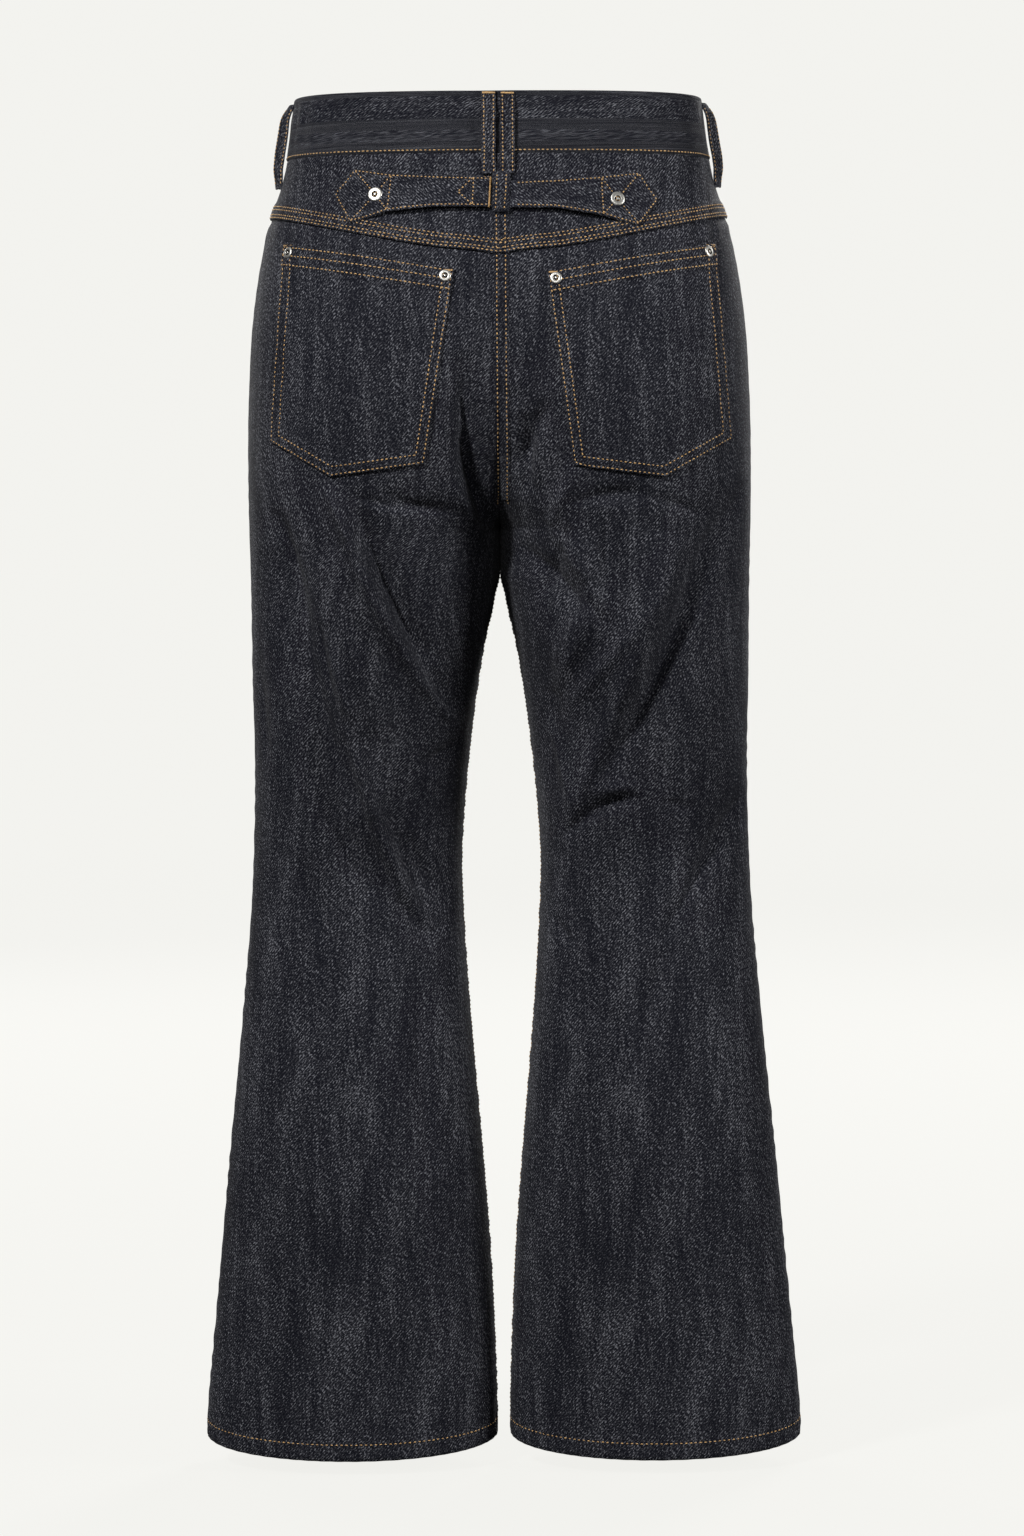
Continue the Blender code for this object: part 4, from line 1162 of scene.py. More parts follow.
def strap_swatch(side):
    """A cinch strap: narrow, pointed at its tab, and standing off along its lower edge."""
    shares = np.concatenate((np.linspace(0.0, 0.84, 60), np.linspace(0.84, 0.995, 20)[1:], (1.0,)))
    corners_top = STRAP_TOP[side]
    corners_foot = STRAP_FOOT[side]
    upper = even_rail(corners_top, shares)[None]
    lower = even_rail(corners_foot, shares)[None]
    falls = np.concatenate(((0.0, 0.02, 0.05, 0.09), np.linspace(0.14, 0.86, 17), (0.91, 0.95, 0.98, 1.0)))
    places = upper + (lower - upper) * falls[:, None, None]
    x = places[..., 0]
    drops = places[..., 1]
    outline = corners_top + corners_foot[-2::-1]
    from_edge = to_outline(x, drops, outline)
    stands_off = np.sin(pi * np.clip((x - 0.002) / 0.090, 0.0, 1.0)) ** 0.8
    out = 0.0018 + rolled(from_edge, 0.0011, 0.0012) + 0.0004 * (1.0 - ease(from_edge, 0.004, 0.006))
    out += stands_off * (0.0010 + 0.0028 * falls[:, None] ** 1.6)
    out += 0.00025 * wander(x, 0.0125) * bell(from_edge - 0.003, 0.004)
    out += 0.0006 * wander(x + 0.5 * drops, 0.047, 0.9)
    out += 0.0010 * bell(x, 0.016) * ease(drops, 0.058, 0.064)
    turns = turn_at(x, drops)
    return Swatch(*cloth(turns, drops, side, out), across=True)


def even_rail(corners, shares):
    """Places along corners that stand at the same shares on both edges of a strap."""
    marks = np.array(STRAP_SHARES)
    corners = np.array(corners)
    return np.stack((np.interp(shares, marks, corners[:, 0]), np.interp(shares, marks, corners[:, 1])), -1)


def fly_swatch():
    """The lap over the fly, straight down and then curved in to the middle."""
    falls = np.linspace(0.0, 1.0, 60)
    top = BAND_HEIGHT + 0.0004
    drops = top + (FLY_BOTTOM - top) * falls
    curve = np.clip((drops - FLY_STRAIGHT) / (FLY_BOTTOM - FLY_STRAIGHT), 0.0, 1.0)
    width = 0.0004 + (FLY_WIDTH - 0.0004) * np.sqrt(np.clip(1.0 - curve ** 2, 0.0004, 1.0))
    shares = edge_shares(22, (0.02, 0.045))
    x = -0.0012 + (width[:, None] + 0.0012) * shares[None, :]
    drops = drops[:, None] * np.ones_like(x)
    from_edge = np.minimum(width[:, None] - x, FLY_BOTTOM - drops)
    out = 0.0006 + 0.0009 * (1.0 - ease(x, 0.006, 0.030)) + 0.0004 * bell(from_edge - 0.004, 0.006)
    out += rolled(x + 0.0012, 0.0012, 0.0010) + rolled(from_edge, 0.006, 0.0008)
    return Swatch(*flat_place(x, drops, "front", out))


def strip_swatch(stations, lift, width, place, lean=0.0, twist=0.0):
    """A loop: a narrow strip along stations of (drop, lift share).

    Its place is a side, an x or None for the side seam, and the back or the front.
    Between its ends it may twist, so that its face turns to the back.
    """
    side, x, face = place
    drops = np.array([drop for drop, _ in stations])
    shares = np.array([share for _, share in stations])
    fine = np.linspace(drops[0], drops[-1], 40)
    lifts = np.interp(fine, drops, shares)
    kernel = np.array((1.0, 2.0, 3.0, 2.0, 1.0)) / 9.0
    padded = np.concatenate((np.repeat(lifts[:1], 2), lifts, np.repeat(lifts[-1:], 2)))
    lifts = np.convolve(padded, kernel, mode="valid")
    turns = np.full(len(fine), lean) if x is None else turn_at(abs(x), fine, face)
    points, normals = cloth(turns, fine, side, LOOP_BASE + LOOP_PLY + lift * lifts)
    middle_normal = normals[len(normals) // 3].copy()
    middle_normal[2] = 0.0
    middle_normal /= np.linalg.norm(middle_normal)
    turning = twist * (0.35 + 0.65 * np.sin(pi * np.linspace(0.0, 1.0, len(fine))) ** 0.6)
    turning = turning * np.sign(middle_normal[0])
    across = np.stack((
        middle_normal[1] * np.cos(turning) + middle_normal[0] * np.sin(turning),
        middle_normal[1] * np.sin(turning) - middle_normal[0] * np.cos(turning),
        np.zeros(len(fine))), axis=-1)
    half = width / 2
    edge = np.array((-1.0, -0.97, -0.90, -0.78, -0.6, -0.3, 0.0, 0.3, 0.6, 0.78, 0.90, 0.97, 1.0))
    sunk = -LOOP_PLY * (1 - np.sqrt(np.clip(1 - np.clip((np.abs(edge) - 0.8) / 0.2, 0, 1) ** 2, 0, 1)))
    sunk = sunk + 0.00018 * np.cos(pi * edge) * (np.abs(edge) < 0.8)
    tangent = np.gradient(points, axis=0)
    out = np.cross(across, tangent)
    out /= np.linalg.norm(out, axis=1, keepdims=True)
    out *= np.sign(np.sum(out * normals, axis=1, keepdims=True))
    aside = across[:, None] * (edge * half)[None, :, None]
    grid = points[:, None] + aside + out[:, None] * sunk[None, :, None]
    return Swatch(grid, out[:, None] * np.ones_like(grid))


# Loops: stations of (drop, share of the lift)
LOOP_STATIONS = (
    (0.0012, 0.0), (0.0070, 0.0), (0.0110, 0.5), (0.0160, 1.0), (0.0280, 1.0),
    (0.0400, 1.0), (0.0500, 0.7), (0.0560, 0.1), (0.0610, 0.0),
)
SIDE_LOOP_STATIONS = (
    (0.0040, 0.0), (0.0065, 0.15), (0.0100, 0.65), (0.0160, 0.95), (0.0280, 1.0),
    (0.0420, 1.0), (0.0530, 0.85), (0.0610, 0.25), (0.0665, 0.0),
)
KEEPER_STATIONS = ((0.0600, 0.1), (0.0640, 0.9), (0.0700, 1.0), (0.0840, 1.0), (0.0880, 0.8), (0.0892, 0.2))
LOOP_BASE = 0.0014               # the loop's underside over the cloth, where it is tacked
LOOP_PLY = 0.0011
LOOP_WALL = 0.0016
LOOP_WIDTH = 0.0108
BACK_LOOP_LIFT = 0.0016
KEEPER_LIFT = 0.0030
SIDE_LOOP_LIFT = 0.0044
SIDE_LOOP_LEAN = radians(6)      # how far behind the side seam a side loop stands
SIDE_LOOP_TWIST = radians(44)


def side_loop_swatch(side):
    return strip_swatch(
        SIDE_LOOP_STATIONS, SIDE_LOOP_LIFT, LOOP_WIDTH, (side, None, "back"), SIDE_LOOP_LEAN, SIDE_LOOP_TWIST)


def front_loop_swatch(side):
    return strip_swatch(LOOP_STATIONS, BACK_LOOP_LIFT, LOOP_WIDTH, (side, FRONT_LOOP_X, "front"))


# ---------------------------------------------------------------- stitching


REACH = 0.012            # how far over the form a stitch looks for the cloth
THREAD_FLATNESS = 0.72   # height of a stitch as a share of its width
STITCH_SHARE = 0.52      # how much of the pitch one stitch fills
LONG_STITCH_SHARE = 0.60
STITCH_LIFT = 0.00012
WOBBLE = 0.00012         # how far a stitch's ends stray
SHADES = (0.25, 1.0)     # the darkest and the palest stitch
FINE_PITCH = 0.0029      # on straps and loops
HEM_PITCH = 0.0037
ROW_STEP = 0.004         # between the places that a row is laid through
TACK_PITCH = 0.00055
TACK_THREAD = 0.9        # width of a tack's thread as a share of a row's


def surface_of(pieces):
    """What the stitches are laid on: the faces of the named pieces."""
    points = []
    faces = []
    for piece in pieces:
        mesh = bpy.data.objects[piece].data
        first = len(points)
        points.extend(vertex.co.copy() for vertex in mesh.vertices)
        faces.extend([first + corner for corner in polygon.vertices] for polygon in mesh.polygons)
    return BVHTree.FromPolygons(points, faces)


def laid(surface, point, normal):
    """The point of the surface under a point, seen from outside."""
    start = Vector(point) + Vector(normal) * REACH
    hit, facing, _, _ = surface.ray_cast(start, -Vector(normal), 2.2 * REACH)
    if hit is None:
        return Vector(point), Vector(normal)
    if facing.dot(Vector(normal)) < 0:
        facing = -facing
    return hit, (facing + Vector(normal)).normalized()


def stitch_shape():
    """One stitch, a metre long on X: a flattened bead from a sphere, as points and faces."""
    thread = sizes().thread
    bpy.ops.object.select_all(action="DESELECT")
    bpy.ops.mesh.primitive_uv_sphere_add(segments=6, ring_count=5, radius=0.5)
    bead = bpy.context.object
    bpy.ops.object.mode_set(mode="EDIT")
    bpy.ops.mesh.select_all(action="SELECT")
    bpy.ops.transform.rotate(value=pi / 2, orient_axis="Y", center_override=(0.0, 0.0, 0.0))
    bpy.ops.transform.resize(value=(1.0, thread, THREAD_FLATNESS * thread))
    bpy.ops.object.mode_set(mode="OBJECT")
    points = np.array([vertex.co for vertex in bead.data.vertices])
    faces = [list(polygon.vertices) for polygon in bead.data.polygons]
    bpy.data.objects.remove(bead)
    return points, faces


class Seamstress:
    """Gathers the stitches of one piece of stitching."""

    def __init__(self, name, seed):
        self.name = name
        self.bead, self.faces = stitch_shape()
        self.points = []
        self.corners = []
        self.shades = []
        self.chance = np.random.default_rng(seed)

    def stitch(self, start, end, normal, wide=1.0):
        """One stitch from start to end on the cloth."""
        along = end - start
        length = along.length
        along.normalize()
        across = normal.cross(along).normalized()
        upward = along.cross(across)
        turn = Matrix((along, across, upward)).transposed()
        shaped = self.bead * np.array((length, wide, wide))
        middle = (start + end) / 2 + upward * STITCH_LIFT
        placed = shaped @ np.array(turn).T + np.array(middle)
        first = sum(len(block) for block in self.points)
        self.points.append(placed)
        self.corners.extend([first + corner for corner in face] for face in self.faces)
        self.shades.append(np.full(len(placed), self.chance.uniform(*SHADES)))

    def row(self, surface, points, normals, pitch=None, share=STITCH_SHARE):
        """A row of stitches along places of the form, each filling a share of the pitch."""
        pitch = pitch or sizes().stitch_pitch
        travelled = np.concatenate(([0.0], np.cumsum(np.linalg.norm(np.diff(points, axis=0), axis=1))))
        count = max(1, int(round(travelled[-1] / pitch)))
        pitch = travelled[-1] / count
        for number in range(count):
            ends = []
            for mark in (number + 0.5 - share / 2, number + 0.5 + share / 2):
                mark = mark * pitch
                place = [np.interp(mark, travelled, points[:, axis]) for axis in range(3)]
                facing = [np.interp(mark, travelled, normals[:, axis]) for axis in range(3)]
                ends.append(laid(surface, place, facing))
            (start, first_normal), (end, second_normal) = ends
            wobble = Vector(self.chance.uniform(-WOBBLE, WOBBLE, 3))
            self.stitch(start + wobble, end - wobble, (first_normal + second_normal).normalized())

    def flat_row(self, surface, corners, face="back", **options):
        """A row through (x, drop) corners on the back or the front."""
        corners = np.array(corners)
        lengths = np.linalg.norm(np.diff(corners, axis=0), axis=1)
        shares = np.concatenate(([0.0], np.cumsum(lengths))) / lengths.sum()
        marks = np.union1d(np.linspace(0.0, 1.0, max(4, int(lengths.sum() / ROW_STEP))), shares)
        x = np.interp(marks, shares, corners[:, 0])
        drops = np.interp(marks, shares, corners[:, 1])
        points, normals = flat_place(x, drops, face)
        self.row(surface, points, normals, **options)

    def round_row(self, surface, side, turns, drops, **options):
        """A row at turns and drops of one side's tube."""
        points, normals = cloth(turns, drops * np.ones_like(turns), side)
        self.row(surface, points, normals, **options)

    def tack(self, surface, corners, wide):
        """A bar tack: short stitches packed side by side across a line."""
        corners = np.array(corners)
        length = np.hypot(*(corners[1] - corners[0]))
        count = max(4, int(length / TACK_PITCH))
        along = (corners[1] - corners[0]) / length
        side_way = np.array((-along[1], along[0])) * wide / 2
        for share in (np.arange(count) + 0.5) / count:
            middle = corners[0] + (corners[1] - corners[0]) * share
            ends = np.array((middle - side_way, middle + side_way))
            points, normals = flat_place(ends[:, 0], ends[:, 1])
            (start, first_normal), (end, second_normal) = (
                laid(surface, place, facing) for place, facing in zip(points, normals))
            self.stitch(start, end, (first_normal + second_normal).normalized(), TACK_THREAD)

    def finish(self):
        """Joins the stitches in one piece."""
        mesh = bpy.data.meshes.new(self.name)
        mesh.from_pydata(np.concatenate(self.points).tolist(), [], self.corners)
        shade = mesh.attributes.new(SHADE, "FLOAT", "POINT")
        shade.data.foreach_set("value", np.concatenate(self.shades).astype(np.float32))
        mesh.materials.append(finish_named("tan_thread", thread_finish))
        mesh.shade_smooth()
        piece = bpy.data.objects.new(self.name, mesh)
        bpy.context.scene.collection.objects.link(piece)
        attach(piece, "root")


# ---------------------------------------------------------------- operators


class Sewing:
    """What the sewing operators share."""

    bl_options = {"REGISTER", "UNDO"}

    def execute(self, context):
        self.make()
        return {"FINISHED"}


class JEANS_OT_stage(Sewing, bpy.types.Operator):
    """Set up the floor, the light and the camera"""

    bl_idname = "jeans.stage"
    bl_label = "Stage"

    def make(self):
        look = bpy.context.scene.stage_look
        self.floor(look)
        self.light(look)
        self.camera(look)

    def floor(self, look):
        bpy.ops.object.select_all(action="DESELECT")
        bpy.ops.mesh.primitive_circle_add(
            vertices=96, radius=FLOOR_RADIUS, fill_type="NGON", location=(0.0, 0.0, -look.floor_drop))
        floor = bpy.context.object
        floor.name = "floor"
        finish = Finish("pale_floor", roughness=1.0, Specular_IOR_Level=0.0, Emission_Strength=1.0)
        across, along, _ = finish.parts(finish.object_place())
        far = ((across * across + along * along) ** 0.5).eased(0.3, 7.0)
        lit = tuple(0.955 * part for part in look.backdrop)
        finish.colour((0.04, 0.04, 0.04))
        finish.put(finish.shader.inputs["Emission Color"], finish.blend(far, lit, tuple(look.backdrop)))
        floor.data.materials.append(finish.material)
        floor.visible_diffuse = False
        floor.visible_glossy = False

    def light(self, look):
        scene = bpy.context.scene
        scene.view_settings.view_transform = "Standard"
        world = bpy.data.worlds.new("studio")
        world.use_nodes = True
        sky = world.node_tree.nodes["Background"]
        sky.inputs["Color"].default_value = (*look.backdrop, 1.0)
        sky.inputs["Strength"].default_value = 1.0
        scene.world = world
        for rays in ("diffuse", "glossy"):
            setattr(world.cycles_visibility, rays, False)
        for name, place, size, power in STUDIO_LIGHTS:
            lamp = bpy.data.lights.new(name, "AREA")
            lamp.shape = "RECTANGLE"
            lamp.size, lamp.size_y = size
            lamp.energy = power
            lamp.color = LAMP_COLOUR
            holder = bpy.data.objects.new(name, lamp)
            scene.collection.objects.link(holder)
            holder.location = place
            towards = Vector(LAMP_AIM) - Vector(place)
            holder.rotation_euler = towards.to_track_quat("-Z", "Y").to_euler()

    def camera(self, look):
        scene = bpy.context.scene
        aim = Vector(CAMERA_AIM)
        away = Vector((0.0, cos(look.elevation), sin(look.elevation)))
        camera = bpy.data.cameras.new("camera")
        camera.sensor_fit = "VERTICAL"
        camera.sensor_height = 24.0
        camera.lens = camera.sensor_height * look.distance / look.frame_height
        camera.clip_end = 200.0
        holder = bpy.data.objects.new("camera", camera)
        scene.collection.objects.link(holder)
        view = away.to_track_quat("Z", "Y").to_matrix().to_4x4()
        lean = Matrix.Rotation(look.roll, 4, "Z")
        holder.matrix_world = Matrix.Translation(aim + away * look.distance) @ view @ lean
        scene.camera = holder


FLOOR_RADIUS = 40.0
CAMERA_AIM = (-0.00826, 0.0, -0.4977)
LAMP_AIM = (0.0, 0.0, -0.45)
LAMP_COLOUR = (1.0, 0.985, 0.96)
# Each light: its name, its place, its size and its power in watts
STUDIO_LIGHTS = (
    ("left_key", (2.0, 2.5, 1.9), (0.5, 0.5), 138.0),
    ("right_side", (-3.0, 1.2, 0.5), (0.8, 1.4), 66.0),
    ("camera_fill", (0.2, 3.9, 0.7), (1.6, 1.2), 29.0),
    ("top", (0.0, 0.1, 2.3), (1.8, 1.4), 5.0),
    ("front_key", (-1.5, -3.2, 1.4), (1.2, 1.2), 150.0),
    ("front_fill", (1.7, -3.2, 0.6), (1.6, 1.6), 70.0),
)


class JEANS_OT_waistband(Sewing, bpy.types.Operator):
    """Sew the waistband"""

    bl_idname = "jeans.waistband"
    bl_label = "Waistband"

    def make(self):
        piece = sew("waistband_cloth", [waistband_swatch()], node="waistband")


class JEANS_OT_yokes(Sewing, bpy.types.Operator):
    """Sew the two halves of the back yoke"""

    bl_idname = "jeans.yokes"
    bl_label = "Yokes"

    def make(self):
        for side in SIDES:
            swatches = [yoke_swatch(side)]
            if side == "left":
                swatches.append(rise_lap(BAND_HEIGHT + 0.001, YOKE_MIDDLE - 0.0005, "back", *BACK_LAP))
            piece = sew(f"yoke_cloth_{side}", swatches, node=f"yoke_{side}")


BACK_LAP = (0.0075, -0.0082)     # x where the rise seam's lap begins, and its folded edge
FRONT_LAP = (0.0085, -0.0010)


class JEANS_OT_back_legs(Sewing, bpy.types.Operator):
    """Sew the two back legs"""

    bl_idname = "jeans.back_legs"
    bl_label = "Back legs"

    def make(self):
        for side in SIDES:
            swatches = [back_leg_swatch(side)]
            if side == "left":
                swatches.append(rise_lap(YOKE_MIDDLE + 0.0004, crotch_drop() - 0.022, "back", *BACK_LAP))
            piece = sew(f"back_leg_cloth_{side}", swatches, node=f"back_leg_{side}")


class JEANS_OT_front_legs(Sewing, bpy.types.Operator):
    """Sew the two front legs, with the facings of their scooped pockets"""

    bl_idname = "jeans.front_legs"
    bl_label = "Front legs"

    def make(self):
        for side in SIDES:
            facing = sew(f"pocket_facing_cloth_{side}", [facing_swatch(side)], node=f"pocket_facing_{side}")
            swatches = [front_leg_swatch(side)]
            if side == "left":
                swatches.append(rise_lap(FLY_BOTTOM - 0.012, crotch_drop() - 0.020, "front", *FRONT_LAP))
            piece = sew(f"front_leg_cloth_{side}", swatches, node=f"front_leg_{side}")


class JEANS_OT_back_pockets(Sewing, bpy.types.Operator):
    """Sew the two patch pockets"""

    bl_idname = "jeans.back_pockets"
    bl_label = "Back pockets"

    def make(self):
        for side in SIDES:
            piece = sew(f"back_pocket_cloth_{side}", [pocket_swatch(side)], f"back_pocket_{side}")


class JEANS_OT_straps(Sewing, bpy.types.Operator):
    """Sew the cinch straps and the keeper over their ends"""

    bl_idname = "jeans.straps"
    bl_label = "Cinch straps"

    def make(self):
        for side in SIDES:
            piece = sew(f"cinch_strap_cloth_{side}", [strap_swatch(side)], node=f"cinch_strap_{side}")
        left, right, _, _ = KEEPER
        middle = (left + right) / 2
        swatch = strip_swatch(KEEPER_STATIONS, KEEPER_LIFT, left - right, ("right", middle, "back"))
        piece = sew("cinch_keeper_cloth", [swatch], node="cinch_keeper")


class JEANS_OT_loops(Sewing, bpy.types.Operator):
    """Sew the six belt loops"""

    bl_idname = "jeans.loops"
    bl_label = "Belt loops"

    def make(self):
        for side, first, last in BACK_LOOPS:
            place = (side, (first + last) / 2, "back")
            swatch = strip_swatch(LOOP_STATIONS, BACK_LOOP_LIFT, abs(last - first), place)
            self.loop(swatch, f"belt_loop_back_{side}")
        for side in SIDES:
            self.loop(side_loop_swatch(side), f"belt_loop_side_{side}")
            self.loop(front_loop_swatch(side), f"belt_loop_front_{side}")

    def loop(self, swatch, node):
        piece = sew(node.replace("belt_loop", "belt_loop_cloth"), [swatch], node, LOOP_WALL)


class JEANS_OT_fly(Sewing, bpy.types.Operator):
    """Sew the lap over the fly"""

    bl_idname = "jeans.fly"
    bl_label = "Fly lap"

    def make(self):
        piece = sew("fly_lap_cloth", [fly_swatch()], "fly_lap", FLY_WALL)


METAL_BEVEL = 0.00012
METAL_SINK = 0.0002      # how far a metal part is pressed into the cloth
POST_RADIUS = 0.0009     # the bright middle inside the groove of a rivet


def turned_metal(name, radius, depth, steps, sides=40, groove=0.0):
    """A round metal part at the origin: a disc whose top is inset and raised step by step.

    Faces sunk within the radius of its groove are painted dark, as painted shade for the rivet's hollow.
    """
    bpy.ops.object.select_all(action="DESELECT")
    bpy.ops.mesh.primitive_cylinder_add(
        vertices=sides, radius=radius, depth=depth, location=(0.0, 0.0, depth / 2))
    piece = bpy.context.object
    piece.name = name
    bpy.ops.object.transform_apply(location=True, rotation=True, scale=True)
    bpy.ops.object.mode_set(mode="EDIT")
    bpy.ops.mesh.select_all(action="DESELECT")
    bpy.ops.object.mode_set(mode="OBJECT")
    for face in piece.data.polygons:
        face.select = face.normal.z > 0.9
    bpy.ops.object.mode_set(mode="EDIT")
    for inset, rise in steps:
        bpy.ops.mesh.inset(thickness=inset, depth=0.0)
        bpy.ops.transform.translate(value=(0.0, 0.0, rise))
    bpy.ops.object.mode_set(mode="OBJECT")
    bevel = piece.modifiers.new("Edges", "BEVEL")
    bevel.width = METAL_BEVEL
    bevel.segments = 2
    bevel.limit_method = "ANGLE"
    bevel.angle_limit = radians(35)
    apply_modifiers(piece)
    only_select(piece)
    bpy.ops.object.shade_smooth_by_angle(angle=radians(60))
    piece.data.materials.append(finish_named("nickel", nickel_finish))
    piece.data.materials.append(finish_named("dark_groove", hollow_shade_finish))
    # The groove's faces take the second material, painted dark as the shade inside the hollow
    for face in piece.data.polygons:
        from_axis = np.hypot(face.center.x, face.center.y)
        if POST_RADIUS < from_axis < groove and face.center.z > 0:
            face.material_index = 1
    return piece


def set_on(pattern, name, node, surface, x, drop, face="back"):
    """A copy of a metal part, standing on the cloth at x and drop."""
    point, normal = flat_place(x, drop, face)
    hit, _ = laid(surface, point, normal)
    direction = Vector(normal)
    turn = direction.to_track_quat("Z", "Y").to_matrix().to_4x4()
    piece = bpy.data.objects.new(name, pattern.data.copy())
    bpy.context.scene.collection.objects.link(piece)
    piece.data.transform(Matrix.Translation(hit - direction * METAL_SINK) @ turn)
    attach(piece, "root")
    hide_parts(node)


class JEANS_OT_rivets(Sewing, bpy.types.Operator):
    """Set the rivets of the pockets and the straps"""

    bl_idname = "jeans.rivets"
    bl_label = "Rivets"

    def make(self):
        rivet = turned_metal("rivet_pattern", 0.0043, 0.0006, RIVET_STEPS, groove=0.0021)
        cinch = turned_metal("cinch_pattern", 0.0053, 0.0006, CINCH_STEPS, groove=0.0022)
        for side in SIDES:
            pocket = surface_of([f"back_pocket_cloth_{side}"])
            for corner, x, drop in POCKET_RIVETS[side]:
                node = f"pocket_rivet_{side}_{corner}"
                set_on(rivet, f"metal_{node}", node, pocket, SIGN[side] * x, drop)
        for side, x, drop in CINCH_RIVETS:
            node = f"cinch_rivet_{side}"
            strap = surface_of([f"cinch_strap_cloth_{side}"])
            set_on(cinch, f"metal_{node}", node, strap, SIGN[side] * x, drop)
        bpy.data.objects.remove(rivet)
        bpy.data.objects.remove(cinch)


# Steps from the rim of a metal part to its middle: how far in, and how far up
RIVET_STEPS = (
    (0.0002, 0.0003), (0.0004, 0.0002), (0.0007, 0.0001), (0.0006, 0.0), (0.0003, -0.0001),
    (0.0002, -0.0008), (0.0008, 0.0), (0.0002, 0.0008), (0.0003, 0.0002),
)
CINCH_STEPS = (
    (0.0003, 0.0003), (0.0004, 0.0002), (0.0010, 0.0001), (0.0010, 0.0), (0.0003, -0.0001),
    (0.0002, -0.0009), (0.0008, 0.0), (0.0002, 0.0008), (0.0003, 0.0002),
)
BUTTON_STEPS = (
    (0.0004, 0.0010), (0.0005, 0.0006), (0.0008, 0.0002), (0.0005, -0.0002), (0.0003, -0.0004),
    (0.0012, -0.0001), (0.0008, 0.0), (0.0003, 0.0003), (0.0010, 0.0002), (0.0012, 0.0001),
)


class JEANS_OT_button(Sewing, bpy.types.Operator):
    """Set the button on the waistband"""

    bl_idname = "jeans.button"
    bl_label = "Button"

    def make(self):
        button = turned_metal("button_pattern", 0.0085, 0.0012, BUTTON_STEPS, sides=56)
        band = surface_of(["waistband_cloth"])
        set_on(button, "metal_waist_button", "waist_button", band, BUTTON_X, BUTTON_DROP, "front")
        bpy.data.objects.remove(button)


def parallel(corners, inset, middle):
    """A row of corners moved towards a middle by inset, as a sewn row inside an edge."""
    corners = np.array(corners, dtype=float)
    lines = []
    for first, second in zip(corners[:-1], corners[1:]):
        run = (second - first) / np.hypot(*(second - first))
        inward = np.array((-run[1], run[0]))
        if inward @ (np.array(middle) - first) < 0:
            inward = -inward
        lines.append((first + inward * inset, run))
    moved = [lines[0][0]]
    for (start, run), (other, other_run) in zip(lines[:-1], lines[1:]):
        share = np.linalg.solve(np.array((run, -other_run)).T, other - start)[0]
        moved.append(start + run * share)
    start, run = lines[-1]
    moved.append(start + run * np.hypot(*(corners[-1] - corners[-2])))
    return [tuple(corner) for corner in moved]


def slide(start, towards, length):
    """The place at a length from start towards another place."""
    run = np.subtract(towards, start)
    return tuple(np.add(start, run / np.hypot(*run) * length))


def signed(corners, side):
    return [(SIGN[side] * x, drop) for x, drop in corners]


class JEANS_OT_back_stitching(Sewing, bpy.types.Operator):
    """Stitch the waistband, the yoke seam and the rise seam at the back"""

    bl_idname = "jeans.back_stitching"
    bl_label = "Back stitching"

    def make(self):
        work = Seamstress("stitching_waistband", 11)
        band = surface_of(["waistband_cloth"])
        for side in SIDES:
            turns = np.linspace(-pi / 2 + 0.002, pi / 2, 200)
            work.round_row(band, side, turns, BAND_HEIGHT - 0.0016, share=LONG_STITCH_SHARE)
        work.finish()
        work = Seamstress("stitching_yoke", 12)
        for side in SIDES:
            yoke = surface_of([f"yoke_cloth_{side}"])
            last = rise_turn(YOKE_MIDDLE) - 0.004
            turns = np.linspace(0.02, last, 120)
            for above in YOKE_ROWS:
                work.round_row(yoke, side, turns, yoke_drop(turns) - above)
        work.finish()
        work = Seamstress("stitching_back_rise", 13)
        lap = surface_of(["yoke_cloth_left", "back_leg_cloth_left"])
        for row in BACK_RISE_ROWS:
            work.flat_row(lap, row)
        work.finish()


# Rows down the rise seam at the back: x and drop of both ends
BACK_RISE_ROWS = (
    ((0.0013, 0.0900), (0.0014, 0.3000)),
    ((-0.0050, 0.0900), (-0.0064, 0.3000)),
)


POCKET_MIDDLE = (0.10, 0.19)
POCKET_SEEDS = {"left": 21, "right": 22}
POCKET_ROW_GAP = 0.0058          # between the two rows round a pocket
POCKET_ROW_START = 0.0105        # how far below the pocket's top they start
POCKET_HEM_ROWS = (0.0022, 0.0082, POCKET_HEM)
CORNER_BOX = (0.0026, 0.0098)    # where the short rows at a corner start and end
CORNER_BOX_ROWS = (0.0020, 0.0072)


